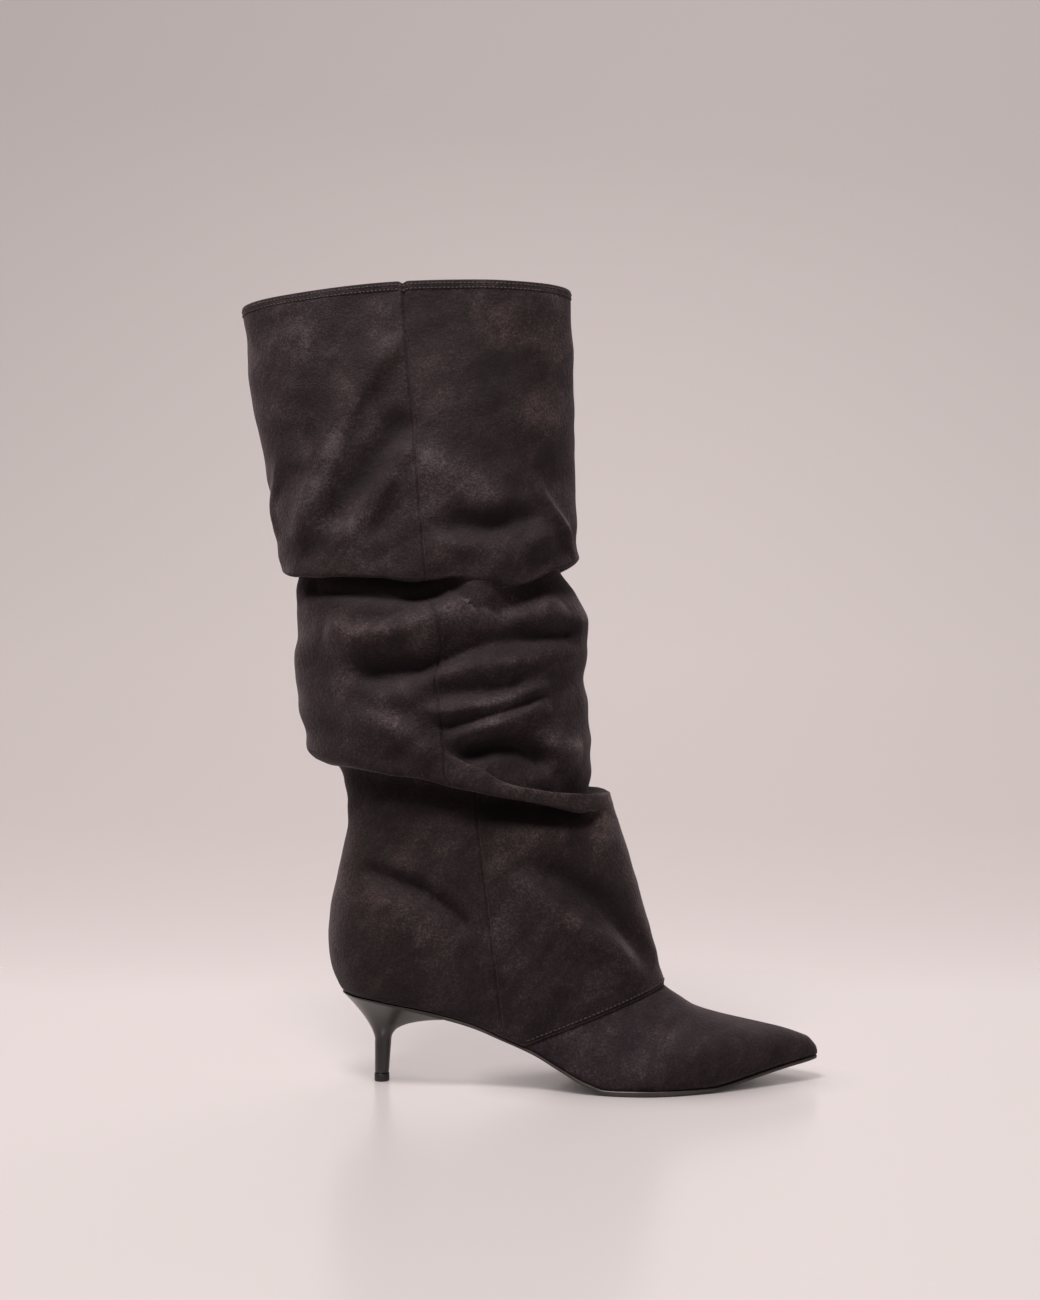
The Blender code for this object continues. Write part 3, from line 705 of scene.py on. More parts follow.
def vamp_points(way, around):
    """Outer face of the vamp. way: seam (0) to toe (1); around: outer edge (0), ridge, inner edge (1)."""
    seam_x = HEEL_BACK_X + VAMP_SEAM_FOOT
    ridge_start = HEEL_BACK_X + VAMP_SEAM_RIDGE
    edge_x = mix(seam_x, TOE_X, way**VAMP_EDGE_LEAD)
    ridge_x = mix(ridge_start, TOE_X, way)
    toe_bed = bed_height(TOE_X)
    ridge_z = toe_bed + table_value(RIDGE, "nose", way) * TOE_DEPTH
    ridge_z = ridge_z + table_value(RIDGE, "instep", way) * (INSTEP_HEIGHT - toe_bed - TOE_DEPTH)
    edge_z = bed_height(edge_x) + GAP
    angle = math.pi * around
    edge_y = np.where(around < 0.5, -half_width("outer", edge_x), half_width("inner", edge_x))
    middle = OUTLINE[-1].inner * BALL_WIDTH * smooth_step(way)
    reach = np.abs(np.cos(angle)) ** mix(VAMP_ROUND_AT_SEAM, VAMP_ROUND_AT_TOE, smooth_step(way))
    rise = np.sin(angle)
    swell = 1 + VAMP_SWELL * np.sin(2 * np.minimum(angle, math.pi - angle))
    y = middle + (edge_y - middle) * reach * swell
    return np.stack([mix(edge_x, ridge_x, rise), y, mix(edge_z, ridge_z, rise)], axis=-1)


def vamp_normals(way, around, step=0.01):
    """Outward normals of the vamp."""
    ways = (np.minimum(way + step, 1.0), np.maximum(way - step, 0.0))
    turns = (np.minimum(around + step, 1.0), np.maximum(around - step, 0.0))
    ahead = vamp_points(ways[0], around) - vamp_points(ways[1], around)
    across = vamp_points(way, turns[0]) - vamp_points(way, turns[1])
    return unit(np.cross(ahead, across))


def section_points(centre, depth, width, turn):
    angle = 2 * math.pi * turn
    x = HEEL_BACK_X + centre * SOLE_LENGTH - 0.5 * depth * SHAFT_DEPTH * np.cos(angle)
    y = -0.5 * width * SHAFT_WIDTH * np.sin(angle)
    return np.stack([x, y, np.zeros_like(x)], axis=-1)


def table_wall(table, height, turn):
    return section_points(*(table_value(table, name, height) for name in ("centre", "depth", "width")), turn)


def outward(turn):
    angle = 2 * math.pi * turn
    return unit(np.stack([-np.cos(angle) / SHAFT_DEPTH, -np.sin(angle) / SHAFT_WIDTH, 0 * angle], axis=-1))


def height_round(rows, name, turn):
    """Height over the floor of one of the shaft's edges or folds round the leg."""
    return HEEL_HEIGHT + table_value(rows, name, turn) * SHAFT_HEIGHT


def fold_turns(upper, lower, edge_z, turn):
    """Heights of a fold's low and high turn. The tube that hangs outside shows its edge at edge_z."""
    step = ((upper - lower) * outward(turn)).sum(axis=-1)
    rise = np.clip(FOLD_LIFT * (np.abs(step) - FOLD_FLAT), -WALL, FOLD_RISE)
    over = smooth_step(0.5 * (step / FOLD_FLAT + 1))
    low = edge_z - rise * (1 - over)
    return low, low + rise


def rim_points(turn):
    """Lower edge of the shaft: the feather line round the heel, then the vamp seam over the instep."""
    place = COLUMNS * np.minimum(turn, 1 - turn)
    side = np.where(turn <= 0.5, -1.0, 1.0)
    seam_x = HEEL_BACK_X + VAMP_SEAM_FOOT
    side_x = HEEL_BACK_X + SIDE_SEAM_FOOT
    rim = np.zeros((len(turn), 3))
    for name, sign in (("outer", -1.0), ("inner", 1.0)):
        walk = outline_walk(name, side_x, np.minimum(place / SEAM_COLUMN, 1.0))
        ahead = mix(side_x, seam_x, np.clip(place - SEAM_COLUMN, 0, 1))
        walk = np.where(place > SEAM_COLUMN, ahead, walk)
        proud = LAP_STEP * smooth_step((place + LAP_COLUMNS - CORNER_COLUMN) / LAP_COLUMNS)
        points = np.stack([walk, sign * (half_width(name, walk) + proud), bed_height(walk) + GAP], axis=-1)
        rim = np.where((side == sign)[:, None], points, rim)
    over_vamp = COLUMNS - 2 * CORNER_COLUMN
    around = (COLUMNS * turn - CORNER_COLUMN) / over_vamp
    inside = np.clip(around, 0.0, 1.0)
    normal = vamp_normals(0 * inside, inside)
    flat = np.minimum(np.minimum(inside, 1 - inside) * over_vamp, 1.0)[:, None]
    normal = unit(normal * np.concatenate([np.ones((len(turn), 2)), flat], axis=1))
    seam = vamp_points(0 * inside, inside) + normal * LAP_STEP
    on_seam = (around > 0) & (around < 1)
    return np.where(on_seam[:, None], seam, rim)


def shaft_turns():
    """Places round the leg: even, and closer together beside the two side seams."""
    girth = math.pi * 0.5 * (SHAFT_DEPTH + SHAFT_WIDTH)
    turns = set(np.arange(EVEN_COLUMNS) / EVEN_COLUMNS)
    clear = SEAM_CLEAR * SEAM_STEPS_MM[-1] * MM / girth
    turns = {t for t in turns if min(abs(t - seam) for seam in SIDE_SEAMS) > clear}
    for seam in SIDE_SEAMS:
        for step in (0.0, *SEAM_STEPS_MM):
            turns |= {seam - step * MM / girth, seam + step * MM / girth}
    turns = sorted(turns)
    if len(turns) % 2:
        turns.remove(turns[1])
    return np.array(turns)


def corner(before, turn_point, after, steps=TURN_STEPS):
    """Rings that round a corner."""
    shares = np.arange(1, steps) / steps
    return [before * (1 - t) ** 2 + turn_point * 2 * t * (1 - t) + after * t**2 for t in shares]


def shaft_grid(turn):
    """Rings of the shaft's outer face before its creases, each ring's band, and whether it is in a fold."""
    rim = rim_points(turn)
    out = outward(turn)
    lower_top = section_points(*(np.full(len(turn), v) for v in LOWER_TOP), turn)
    middle_foot = table_wall(MIDDLE, 0 * turn, turn)
    bridge = table_value(FOLDS, "bridge", turn) * MM
    middle_top = table_wall(MIDDLE, 0 * turn + 1, turn) + out * bridge[:, None]
    cuff_foot = table_wall(CUFF, 0 * turn, turn)
    high = fold_turns(middle_foot, lower_top, height_round(EDGES, "lower_fold", turn), turn)[1]
    cuff_low, middle_high = fold_turns(cuff_foot, middle_top, height_round(FOLDS, "upper", turn), turn)
    arc = arc_of(turn)[0]
    collar = height_round(EDGES, "collar", turn)
    for seam in SIDE_SEAMS:
        collar = collar - COLLAR_NOTCH * np.exp(-(((arc - arc_of(seam)[0]) / COLLAR_NOTCH_WIDTH) ** 2))
    tuck = table_value(FOLDS, "tuck", turn) * MM
    neck = table_value(FOLDS, "neck", turn) * MM
    lip = height_round(FOLDS, "lip", turn)

    def lower(t):
        top = lower_top + np.stack([0 * high, 0 * high, high], axis=-1)
        chord = top - rim
        foot = chord + out * (table_value(SWELLS, "foot", turn) * chord[:, 2])[:, None]
        head = chord + out * (table_value(SWELLS, "top", turn) * chord[:, 2])[:, None]
        t = np.broadcast_to(t, turn.shape)[:, None]
        wall = cubic(rim, foot, top, head, t)
        drawn_in = neck * smooth_step(1 - (lip - wall[:, 2]) / NECK_HEIGHT)
        return wall - out * drawn_in[:, None]

    def lower_at(height):
        """Share up the lower shaft at which it reaches a height."""
        t = np.ones(len(turn))
        for _ in range(LOWER_TRIES):
            t = np.clip(t + (height - lower(t)[:, 2]) / (high - rim[:, 2]), 0.5, 1.0)
        return t

    flush = ((lower(lower_at(lip)) - middle_foot) * out).sum(axis=-1) + neck
    lip_out = np.maximum(tuck, flush)
    lip_foot = middle_foot + out * lip_out[:, None]
    lip_low, lower_high = fold_turns(lip_foot, lower(lower_at(lip)), lip, turn)
    lower_end = lower_at(lower_high)
    lower_high = np.minimum(lower_high, lower(lower_end)[:, 2])

    def middle(height):
        share = (height - lip_low) / (middle_high - lip_low)
        wall = table_wall(MIDDLE, share, turn)
        wall += out * (bridge * smooth_step((share - BRIDGE_START) / (1 - BRIDGE_START)))[:, None]
        wall[:, 2] = height
        return wall

    rim_edge = height_round(FOLDS, "rim", turn)
    inside = middle(rim_edge)
    tuck_low, roll_high = fold_turns(inside, inside + out * tuck[:, None], rim_edge, turn)

    def roll(height):
        share = smooth_step((height - lip_low) / (roll_high - lip_low))
        return middle(height) + out * mix(lip_out, tuck, share)[:, None]

    def cuff(height):
        wall = table_wall(CUFF, (height - cuff_low) / (collar - cuff_low), turn)
        wall[:, 2] = height
        return wall

    rings = []
    bands = []
    folded = []

    def add_wall(wall, low, high, shares, band):
        for share in shares:
            rings.append(wall(mix(low, high, share)))
            bands.append(band)
            folded.append(False)

    def add_fold(first, second, wall_before, wall_after, bands_of_fold):
        length = np.linalg.norm(second - first, axis=1, keepdims=True)
        share = np.minimum(FOLD_ROUND / np.maximum(length, TINY), MOST_ROUND)
        leave = mix(first, second, share)
        arrive = mix(first, second, 1 - share)
        made = corner(wall_before, first, leave) + [leave, mix(leave, arrive, 0.5), arrive]
        rings.extend(made + corner(arrive, second, wall_after))
        bands.extend([bands_of_fold[0]] * TURN_STEPS + [bands_of_fold[1]] * (TURN_STEPS + 1))
        folded.extend([True] * (2 * TURN_STEPS + 1))

    stop = lower_at(lower_high - FOLD_ROUND)
    add_wall(lower, 0 * turn, stop, np.linspace(0, 1, LOWER_STEPS), "lower")
    roll_round = np.minimum(FOLD_ROUND, MOST_ROLL_ROUND * (roll_high - lip_low))
    lip_start = lip_low + roll_round
    add_fold(lower(lower_end), roll(lip_low), lower(stop), roll(lip_start), ("lower", "roll"))
    roll_stop = roll_high - roll_round
    add_wall(roll, lip_start, roll_stop, np.linspace(0, 1, ROLL_STEPS), "roll")
    middle_start = tuck_low + FOLD_ROUND
    add_fold(roll(roll_high), middle(tuck_low), roll(roll_stop), middle(middle_start), ("roll", "middle"))
    middle_stop = middle_high - FOLD_ROUND
    add_wall(middle, middle_start, middle_stop, np.linspace(0, 1, MIDDLE_STEPS), "middle")
    cuff_start = cuff_low + FOLD_ROUND
    add_fold(middle(middle_high), cuff(cuff_low), middle(middle_stop), cuff(cuff_start), ("middle", "cuff"))
    hem_shares = np.linspace(HEM_START, 1, HEM_STEPS)[1:]
    cuff_shares = np.concatenate([np.linspace(0, HEM_START, CUFF_STEPS), hem_shares])
    add_wall(cuff, cuff_start, collar - 0.5 * WALL, cuff_shares, "cuff")
    return np.array(rings), np.array(bands), np.array(folded)


def grid_normals(grid):
    """Outward normals of a ring grid that closes on itself sideways."""
    across = np.roll(grid, -1, axis=1) - np.roll(grid, 1, axis=1)
    up = np.gradient(grid, axis=0)
    return unit(np.cross(across, up))


def arc_of(turn, steps=2000):
    """Length round the leg from the heel, in metres."""
    angle = np.linspace(0, 2 * math.pi, steps + 1)
    x = 0.5 * SHAFT_DEPTH * np.cos(angle)
    y = 0.5 * SHAFT_WIDTH * np.sin(angle)
    length = np.concatenate([[0], np.cumsum(np.hypot(np.diff(x), np.diff(y)))])
    return np.interp(turn, angle / (2 * math.pi), length), length[-1]


def seen_on_middle(points, side):
    """Where the camera, or its mirror image for the inner side, sees points on the boot's middle plane."""
    nearer = points[..., 1] if side == "outer" else -points[..., 1]
    scale = -EYE.y / (nearer - EYE.y)
    x = EYE.x + (points[..., 0] - EYE.x) * scale
    z = EYE.z + (points[..., 2] - EYE.z) * scale
    return np.stack([x, z], axis=-1)


def crease_path(line, seen, part, arc, columns):
    """Where a crease's line lies on the shaft, as lengths round the leg and heights."""
    path = []
    for x, z in line:
        away = np.linalg.norm(seen[:, columns] - np.array((x, z)) * MM, axis=-1)
        nearest = np.argsort(away, axis=None)[:NEAREST_POINTS]
        weight = 1 / (away.flat[nearest] + NEAREST_SOFT)
        ring, column = np.unravel_index(nearest, away.shape)
        place = np.average(arc[columns[column]], weights=weight)
        path.append((place, np.average(part[ring, columns[column], 2], weights=weight)))
    return np.array(path)


def crease_shape(crease, path, part, arc, girth):
    """How much of a crease's depth each point of a part of the shaft has."""
    lengths = np.linalg.norm(np.diff(path, axis=0), axis=1)
    best = np.full(part.shape[:2], np.inf)
    signed = np.zeros(part.shape[:2])
    share = np.zeros(part.shape[:2])
    walked = 0.0
    for start, end, length in zip(path, path[1:], lengths):
        run = end - start
        gone_arc = (arc[None, :] - start[0] + 0.5 * girth) % girth - 0.5 * girth
        gone_z = part[..., 2] - start[1]
        t = np.clip((gone_arc * run[0] + gone_z * run[1]) / length**2, 0, 1)
        off_arc = gone_arc - t * run[0]
        off_z = gone_z - t * run[1]
        away = np.hypot(off_arc, off_z)
        nearer = away < best
        best = np.where(nearer, away, best)
        signed = np.where(nearer, run[0] * off_z - run[1] * off_arc, signed)
        share = np.where(nearer, walked + t * length, share)
        walked += length
    fade = smooth_step(share / CREASE_END + CREASE_AT_END)
    fade = fade * smooth_step((lengths.sum() - share) / CREASE_END + CREASE_AT_END)
    breadth = np.where(signed > 0, crease.left, crease.right) * MM
    return fade * np.exp(-((best / breadth) ** 2))


def crease_depths(grid, bands, turn):
    """How far each point of the shaft moves out for the creases."""
    arc, girth = arc_of(turn)
    move = np.zeros(grid.shape[:2])
    hiding = smooth_step(table_value(FOLDS, "tuck", turn) / TUCK_THAT_HIDES)
    hidden = np.where(bands[:, None] == "roll", hiding, 0.0)
    for (band, side), creases in CREASES.items():
        rows = np.flatnonzero((bands == band) | ((bands == "roll") & (band == "middle")))
        part = grid[rows]
        seen = seen_on_middle(part, side)
        columns = np.flatnonzero(turn <= 0.5 if side == "outer" else turn >= 0.5)
        for crease in creases:
            path = crease_path(crease.line, seen, part, arc, columns)
            shape = crease_shape(crease, path, part, arc, girth)
            move[rows] += crease.out * MM * shape * (1 - hidden[rows])
    return move


def nap_and_painted_light_values(points):
    """How light the suede is at each point: its own patches, with painted highlights and painted shade placed
    along the creases and under the folds.
    """
    light = np.zeros(points.shape[:-1])
    for side, shift in (("outer", 0), ("inner", PATCH_SHIFT_INSIDE)):
        seen = seen_on_middle(points, side) / MM
        here = smooth_step(0.5 + (-1 if side == "outer" else 1) * points[..., 1] / PATCH_SIDE_BLEND)
        for nap_and_painted_light in NAP_AND_PAINTED_LIGHT_PATCHES:
            off_x = (seen[..., 0] - nap_and_painted_light.x - shift) / nap_and_painted_light.spread_x
            off_z = (seen[..., 1] - nap_and_painted_light.height) / nap_and_painted_light.spread_z
            light += here * nap_and_painted_light.light * np.exp(-(off_x**2) - off_z**2)
    return light


def slanted_waves(points, seed):
    """Long soft wrinkles that rise slowly towards the toe."""
    along = (points[..., 0] * WRINKLE_RUN + points[..., 2] * WRINKLE_RISE) / WRINKLE_LENGTH
    across = (points[..., 2] * WRINKLE_RUN - points[..., 0] * WRINKLE_RISE) / WRINKLE_BREADTH
    places = np.stack([along, points[..., 1] / WRINKLE_LENGTH, across], axis=-1)
    return waves(places, 1.0, seed)


def waves(points, size, seed):
    """Soft noise at places of a grid, for waves of about that size."""
    flat = points.reshape(-1, 3) / size + seed
    return np.array([noise.noise(Vector(p)) for p in flat]).reshape(points.shape[:-1])


def ring_faces(first, rings, columns, closed=True, turned=False):
    """Faces between rings of points that follow one another from the point numbered first."""
    faces = []
    for ring in range(rings - 1):
        a = first + ring * columns
        b = a + columns
        for column in range(columns if closed else columns - 1):
            after = (column + 1) % columns
            face = (a + column, a + after, b + after, b + column)
            faces.append(face[::-1] if turned else face)
    return faces


def joined_grids(outer, inner):
    """Faces of a shell of a fine outer grid and an inner grid of half its columns, closed at both ends."""
    rings, columns = outer.shape[:2]
    inner_rings, inner_columns = inner.shape[:2]
    start = rings * columns
    faces = ring_faces(0, rings, columns) + ring_faces(start, inner_rings, inner_columns, turned=True)
    for ring, ring_in, turned in ((0, 0, True), (rings - 1, inner_rings - 1, False)):
        for column in range(inner_columns):
            first = ring * columns + 2 * column
            middle = ring * columns + (2 * column + 1) % columns
            second = ring * columns + (2 * column + 2) % columns
            near = start + ring_in * inner_columns + column
            far = start + ring_in * inner_columns + (column + 1) % inner_columns
            for face in ((first, middle, near), (middle, far, near), (middle, second, far)):
                faces.append(face[::-1] if turned else face)
    return faces


def capped_rings(rings):
    """Faces between rings of equal count, with the two ends closed."""
    count = len(rings[0])
    last = (len(rings) - 1) * count
    ends = [tuple(range(count))[::-1], tuple(range(last, last + count))]
    return ring_faces(0, len(rings), count) + ends


def new_piece(name, points, faces, finish, replaced, crease_angle=None):
    """A mesh object that rides on the part's body and takes the finish it is given."""
    data = bpy.data.meshes.new(name)
    data.from_pydata([tuple(p) for p in points], [], faces)
    data.validate()
    data.shade_smooth()
    if crease_angle is not None:
        data.set_sharp_from_angle(angle=math.radians(crease_angle))
    data.materials.append(finish)
    piece = add_object(name, data)
    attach(piece, "root")
    if replaced:
        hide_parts(*replaced)
    return piece


def store(piece, name, values):
    """Gives each point of a piece a value that its material reads."""
    attribute = piece.data.attributes.new(name, "FLOAT", "POINT")
    attribute.data.foreach_set("value", np.asarray(values, np.float32).ravel())


def shaft_moves(grid, bands, turn, base):
    """How far each point of the shaft moves out for its creases, waves, wrinkles and side seams."""
    move = crease_depths(grid, bands, turn)
    move += sum(wave.depth * waves(grid, wave.size, wave.seed) for wave in SHAFT_WAVES)
    above = smooth_step((grid[..., 2] - WRINKLE_HIGH) / WRINKLE_BLEND)
    creased = smooth_step((grid[..., 2] - WRINKLE_LOW) / WRINKLE_BLEND) * mix(1, WRINKLE_LEAST, above)
    move += WRINKLE_DEPTH * mix(WRINKLE_LEAST, 1, creased) * slanted_waves(grid, WRINKLE_SEED)
    arc = arc_of(turn)[0]
    level = smooth_step((SEAM_LEVEL_END - np.abs(base[..., 2])) / SEAM_LEVEL_BLEND)
    for seam in SIDE_SEAMS:
        away = np.abs(arc - arc_of(seam)[0])
        groove = SEAM_SWELL * np.exp(-(((away - SEAM_SWELL_AWAY) / SEAM_SWELL_WIDTH) ** 2))
        groove = groove - SEAM_GROOVE * np.exp(-((away / SEAM_GROOVE_WIDTH) ** 2))
        move += groove[None, :] * level
    return move


def lining_loft(grid, folded):
    """How much of the lining's loft each point has: all of it in the slouch, none beside a fold."""
    loft = smooth_step((grid[..., 2:] - SLOUCH_LOW) / SLOUCH_BLEND)
    loft = loft * (1 - smooth_step((grid[..., 2:] - SLOUCH_HIGH) / SLOUCH_BLEND))
    rings_off = np.abs(np.arange(len(grid))[:, None] - np.flatnonzero(folded)[None, :]).min(axis=1)
    return loft * smooth_step((rings_off - LOFT_OFF_RINGS) / LOFT_BLEND_RINGS)[:, None, None]


def make_collar_stitches(grid, normal, thread):
    """Rows of stitches in the hem, at their depths under the collar."""
    low = grid[-HEM_STEPS - 1 : -1]
    high = grid[-HEM_STEPS:]
    column = np.arange(grid.shape[1])
    for number, down in enumerate(COLLAR_ROWS):
        share = (grid[-1, :, 2] - down - low[..., 2]) / (high[..., 2] - low[..., 2])
        row = np.argmax((share >= 0) & (share <= 1), axis=0)
        part = np.clip(share[row, column], 0, 1)[:, None]
        path = mix(low[row, column], high[row, column], part)
        out = normal[-HEM_STEPS - 1 : -1][row, column]
        path = np.concatenate([path, path[:1]])
        out = np.concatenate([out, out[:1]])
        make_stitching(f"collar_stitches_{number + 1}", path, out, COLLAR_STITCH, thread)


def make_shaft(finish, thread, lining):
    """The shaft as one shell with its folds, from the sole's edge and the vamp seam up to the collar."""
    turn = shaft_turns()
    grid, bands, folded = shaft_grid(turn)
    base = grid_normals(grid)
    move = shaft_moves(grid, bands, turn, base)
    over_foot = grid[..., 2] - grid[:1, :, 2]
    top_gap = grid[-1:, :, 2] - grid[..., 2]
    calm = smooth_step(over_foot / CALM_FOOT) * smooth_step(top_gap / CALM_COLLAR + CALM_AT_COLLAR)
    hem = COLLAR_SWELL * (1 - smooth_step((top_gap / COLLAR_ROWS[-1] - HEM_EDGE) / HEM_BLEND))
    grid = grid + base * (move * calm + hem)[..., None]
    curl = CURL_DEPTH * (1 - smooth_step(over_foot / CURL_HEIGHT))
    grid = grid - base * curl[..., None]
    normal = grid_normals(grid)
    collar = []
    for angle in np.radians(COLLAR_ANGLES):
        ring = grid[-1] - normal[-1] * 0.5 * WALL * (1 - math.cos(angle))
        ring[:, 2] += 0.5 * WALL * math.sin(angle)
        collar.append(ring)
    inner = (grid - normal * (WALL + LINING_LOFT * lining_loft(grid, folded)))[::2, ::2]
    outer = np.concatenate([grid, np.array(collar)])
    faces = joined_grids(outer, inner)
    points = np.concatenate([outer.reshape(-1, 3), inner.reshape(-1, 3)])
    piece = new_piece("shaft", points, faces, finish, ["upper"])
    inner_first = (outer.shape[0] - 1) * outer.shape[1]
    inner_count = (inner.shape[0] - 1) * inner.shape[1]
    piece.data.materials.append(lining)
    index = np.zeros(len(faces), np.int32)
    index[inner_first : inner_first + inner_count] = 1
    piece.data.polygons.foreach_set("material_index", index)
    light = nap_and_painted_light_values(points)
    # Painted highlights where the creases, waves, wrinkles and seams move the face out, and painted shade where
    # they move it in
    light[: move.size] += (PAINTED_LIGHT_ON_CREASES * np.clip(move / CREASE_OF_FULL_PAINTED_LIGHT, -1, 1)).ravel()
    store(piece, "nap_and_painted_light", light)
    make_collar_stitches(grid, normal, thread)


def make_vamp(finish):
    """The vamp, which runs on under the shaft's lower edge and ends in a stiff toe."""
    way = np.linspace(0, 1, VAMP_STEPS)[:, None] ** VAMP_SPACING
    around = np.linspace(0, 1, VAMP_COLUMNS + 1)[None, :]
    way, around = np.broadcast_arrays(way, around)
    outer = vamp_points(way, around)
    normal = vamp_normals(way, around)
    move = VAMP_WAVE.depth * waves(outer, VAMP_WAVE.size, VAMP_WAVE.seed) * smooth_step(way / VAMP_CALM_SEAM)
    over_sole = outer[..., 2] - bed_height(outer[..., 0]) - GAP
    curl = CURL_DEPTH * (1 - smooth_step(over_sole / CURL_HEIGHT)) * smooth_step((1 - way) / VAMP_CALM_TOE)
    outer = outer + normal * (move * smooth_step(over_sole / VAMP_CALM_SOLE) - curl)[..., None]
    back = unit(outer[0] - outer[SEAM_RING])
    under = [outer[0] + back * LAP_UNDER * share - normal[0] * LAP_SINK * share for share in (1.0, 0.5)]
    inner_end = 1 - TOE_STIFFENER / (SOLE_LENGTH - VAMP_SEAM_FOOT)
    inside = way * mix(1.0, inner_end, smooth_step(way))
    inner = vamp_points(inside, around) - vamp_normals(inside, around) * WALL
    inner_under = [ring - normal[0] * WALL for ring in under]
    outer = np.concatenate([under, outer])
    inner = np.concatenate([inner_under, inner])
    rings, columns = outer.shape[:2]
    inward = rings * columns
    faces = ring_faces(0, rings, columns, closed=False, turned=True)
    faces += ring_faces(inward, rings, columns, closed=False)
    for ring in range(rings - 1):
        for column, order in ((0, 1), (columns - 1, -1)):
            a = ring * columns + column
            b = a + columns
            faces.append((a, inward + a, inward + b, b)[::order])
    for column in range(columns - 1):
        faces.append((column, column + 1, inward + column + 1, inward + column))
    last = (rings - 1) * columns
    tip = list(range(last, last + columns))
    faces.append(tuple(tip))
    faces.append(tuple(inward + index for index in tip[::-1]))
    faces.append((tip[0], inward + tip[0], inward + tip[-1], tip[-1]))
    points = np.concatenate([outer.reshape(-1, 3), inner.reshape(-1, 3)])
    piece = new_piece("vamp", points, faces, finish, ["upper"])
    store(piece, "nap_and_painted_light", nap_and_painted_light_values(points))


def capsule(centre, along, out, stitch, around=8, along_steps=5):
    """Points and faces of one stitch: a rounded length of thread that bulges out of the surface."""
    sideways = unit(np.cross(out, along))
    reach = along * 0.5 * stitch.pitch * stitch.share
    points = [centre - reach, centre + reach]
    faces = ring_faces(2, along_steps - 1, around)
    for step in range(1, along_steps):
        angle = math.pi * step / along_steps
        middle = centre - reach * math.cos(angle)
        for index in range(around):
            turned = 2 * math.pi * index / around
            off = sideways * 0.5 * stitch.width * math.cos(turned) + out * stitch.proud * math.sin(turned)
            points.append(middle + off * math.sin(angle))
    last = 2 + (along_steps - 2) * around
    for index in range(around):
        after = (index + 1) % around
        faces.append((0, 2 + after, 2 + index))
        faces.append((last + index, last + after, 1))
    return points, faces


def make_stitching(name, path, normals, stitch, finish):
    """A row of stitches along a path that lies on the surface."""
    length = np.concatenate([[0], np.cumsum(np.linalg.norm(np.diff(path, axis=0), axis=1))])
    points = []
    faces = []
    for index in range(int(length[-1] / stitch.pitch)):
        ends = [(index + 0.5 + half * stitch.share) * stitch.pitch for half in (-0.5, 0.5)]
        first, second = (np.array([np.interp(end, length, path[:, k]) for k in range(3)]) for end in ends)
        middle = 0.5 * (ends[0] + ends[1])
        out = unit(np.array([np.interp(middle, length, normals[:, k]) for k in range(3)]))
        made, made_faces = capsule(0.5 * (first + second), unit(second - first), out, stitch)
        start = len(points)
        points += made
        faces += [tuple(start + corner_index for corner_index in face) for face in made_faces]
    new_piece(name, points, faces, finish, [])


def plate_rings(x_low, x_high, inset, bottom, top, edge):
    """A plate's closed outline, as rings from its lower face over a rounded edge to its upper face."""
    even = np.linspace(0, 1, PLATE_STATIONS)
    x = mix(x_low, x_high, mix(even, smooth_step(even), PLATE_GATHER))
    outer = np.stack([x, -half_width("outer", x) + inset], axis=-1)
    inner = np.stack([x, half_width("inner", x) - inset], axis=-1)
    outline = np.concatenate([outer, inner[::-1]])
    ahead = np.roll(outline, -1, axis=0) - np.roll(outline, 1, axis=0)
    normal = unit(np.stack([ahead[:, 1], -ahead[:, 0]], axis=-1))
    low = bottom(outline[:, 0])
    high = top(outline[:, 0])
    radius = np.minimum(edge, MOST_ROUND * (high - low))
    rings = []
    for level, first, last in ((low + radius, -90, 0), (high - radius, 0, 90)):
        for angle in np.radians(np.linspace(first, last, PLATE_EDGE_STEPS)):
            pulled = outline - normal * (radius * (1 - math.cos(angle)))[:, None]
            rings.append(np.column_stack([pulled, level + radius * math.sin(angle)]))
    return rings


def make_plate(name, rings, finish, node):
    """A plate whose two faces are strips from one side of its outline to the other."""
    count = len(rings[0])
    faces = ring_faces(0, len(rings), count)
    last = (len(rings) - 1) * count
    for index in range(count // 2 - 1):
        other = count - 1 - index
        faces.append((index, other, other - 1, index + 1)[::-1])
        faces.append((last + index, last + index + 1, last + other - 1, last + other)[::-1])
    new_piece(name, np.concatenate(rings), faces, finish, [node], crease_angle=60)


def make_outsole(finish):
    """The sole's plate, which rises a little behind and ahead of its lowest line."""

    def bottom(x):
        along = (x - HEEL_BACK_X) / SOLE_LENGTH
        rise = np.minimum(((along - ROCKER_LOWEST) / ROCKER_REACH) ** 2, 1.0)
        rise = rise * smooth_step((along - ROCKER_START) / ROCKER_REACH)
        return bed_height(x) - sole_thickness(x) + ROCKER_RISE * rise

    rings = plate_rings(BREAST_X - SOLE_UNDER_SEAT, TOE_X - GAP, 0.0, bottom, bed_height, SOLE_EDGE)
    make_plate("sole_plate", rings, finish, "outsole")


def make_insole(finish):
    def bottom(x):
        return bed_height(x) + GAP

    def top(x):
        return bed_height(x) + GAP + INSOLE_THICKNESS

    x_low = HEEL_BACK_X + INSOLE_MARGIN
    rings = plate_rings(x_low, TOE_X - INSOLE_TOE_GAP, INSOLE_MARGIN, bottom, top, INSOLE_EDGE)
    make_plate("insole_board", rings, finish, "insole")


def stem_ring(angle, height, share=1.0, ahead=0.0):
    """One oval ring of the heel's stem."""
    x = ahead - 0.5 * STEM_DEPTH * share * np.cos(angle)
    y = -0.5 * STEM_WIDTH * share * np.sin(angle)
    return np.stack([x, y, np.full(len(angle), height)], axis=-1)


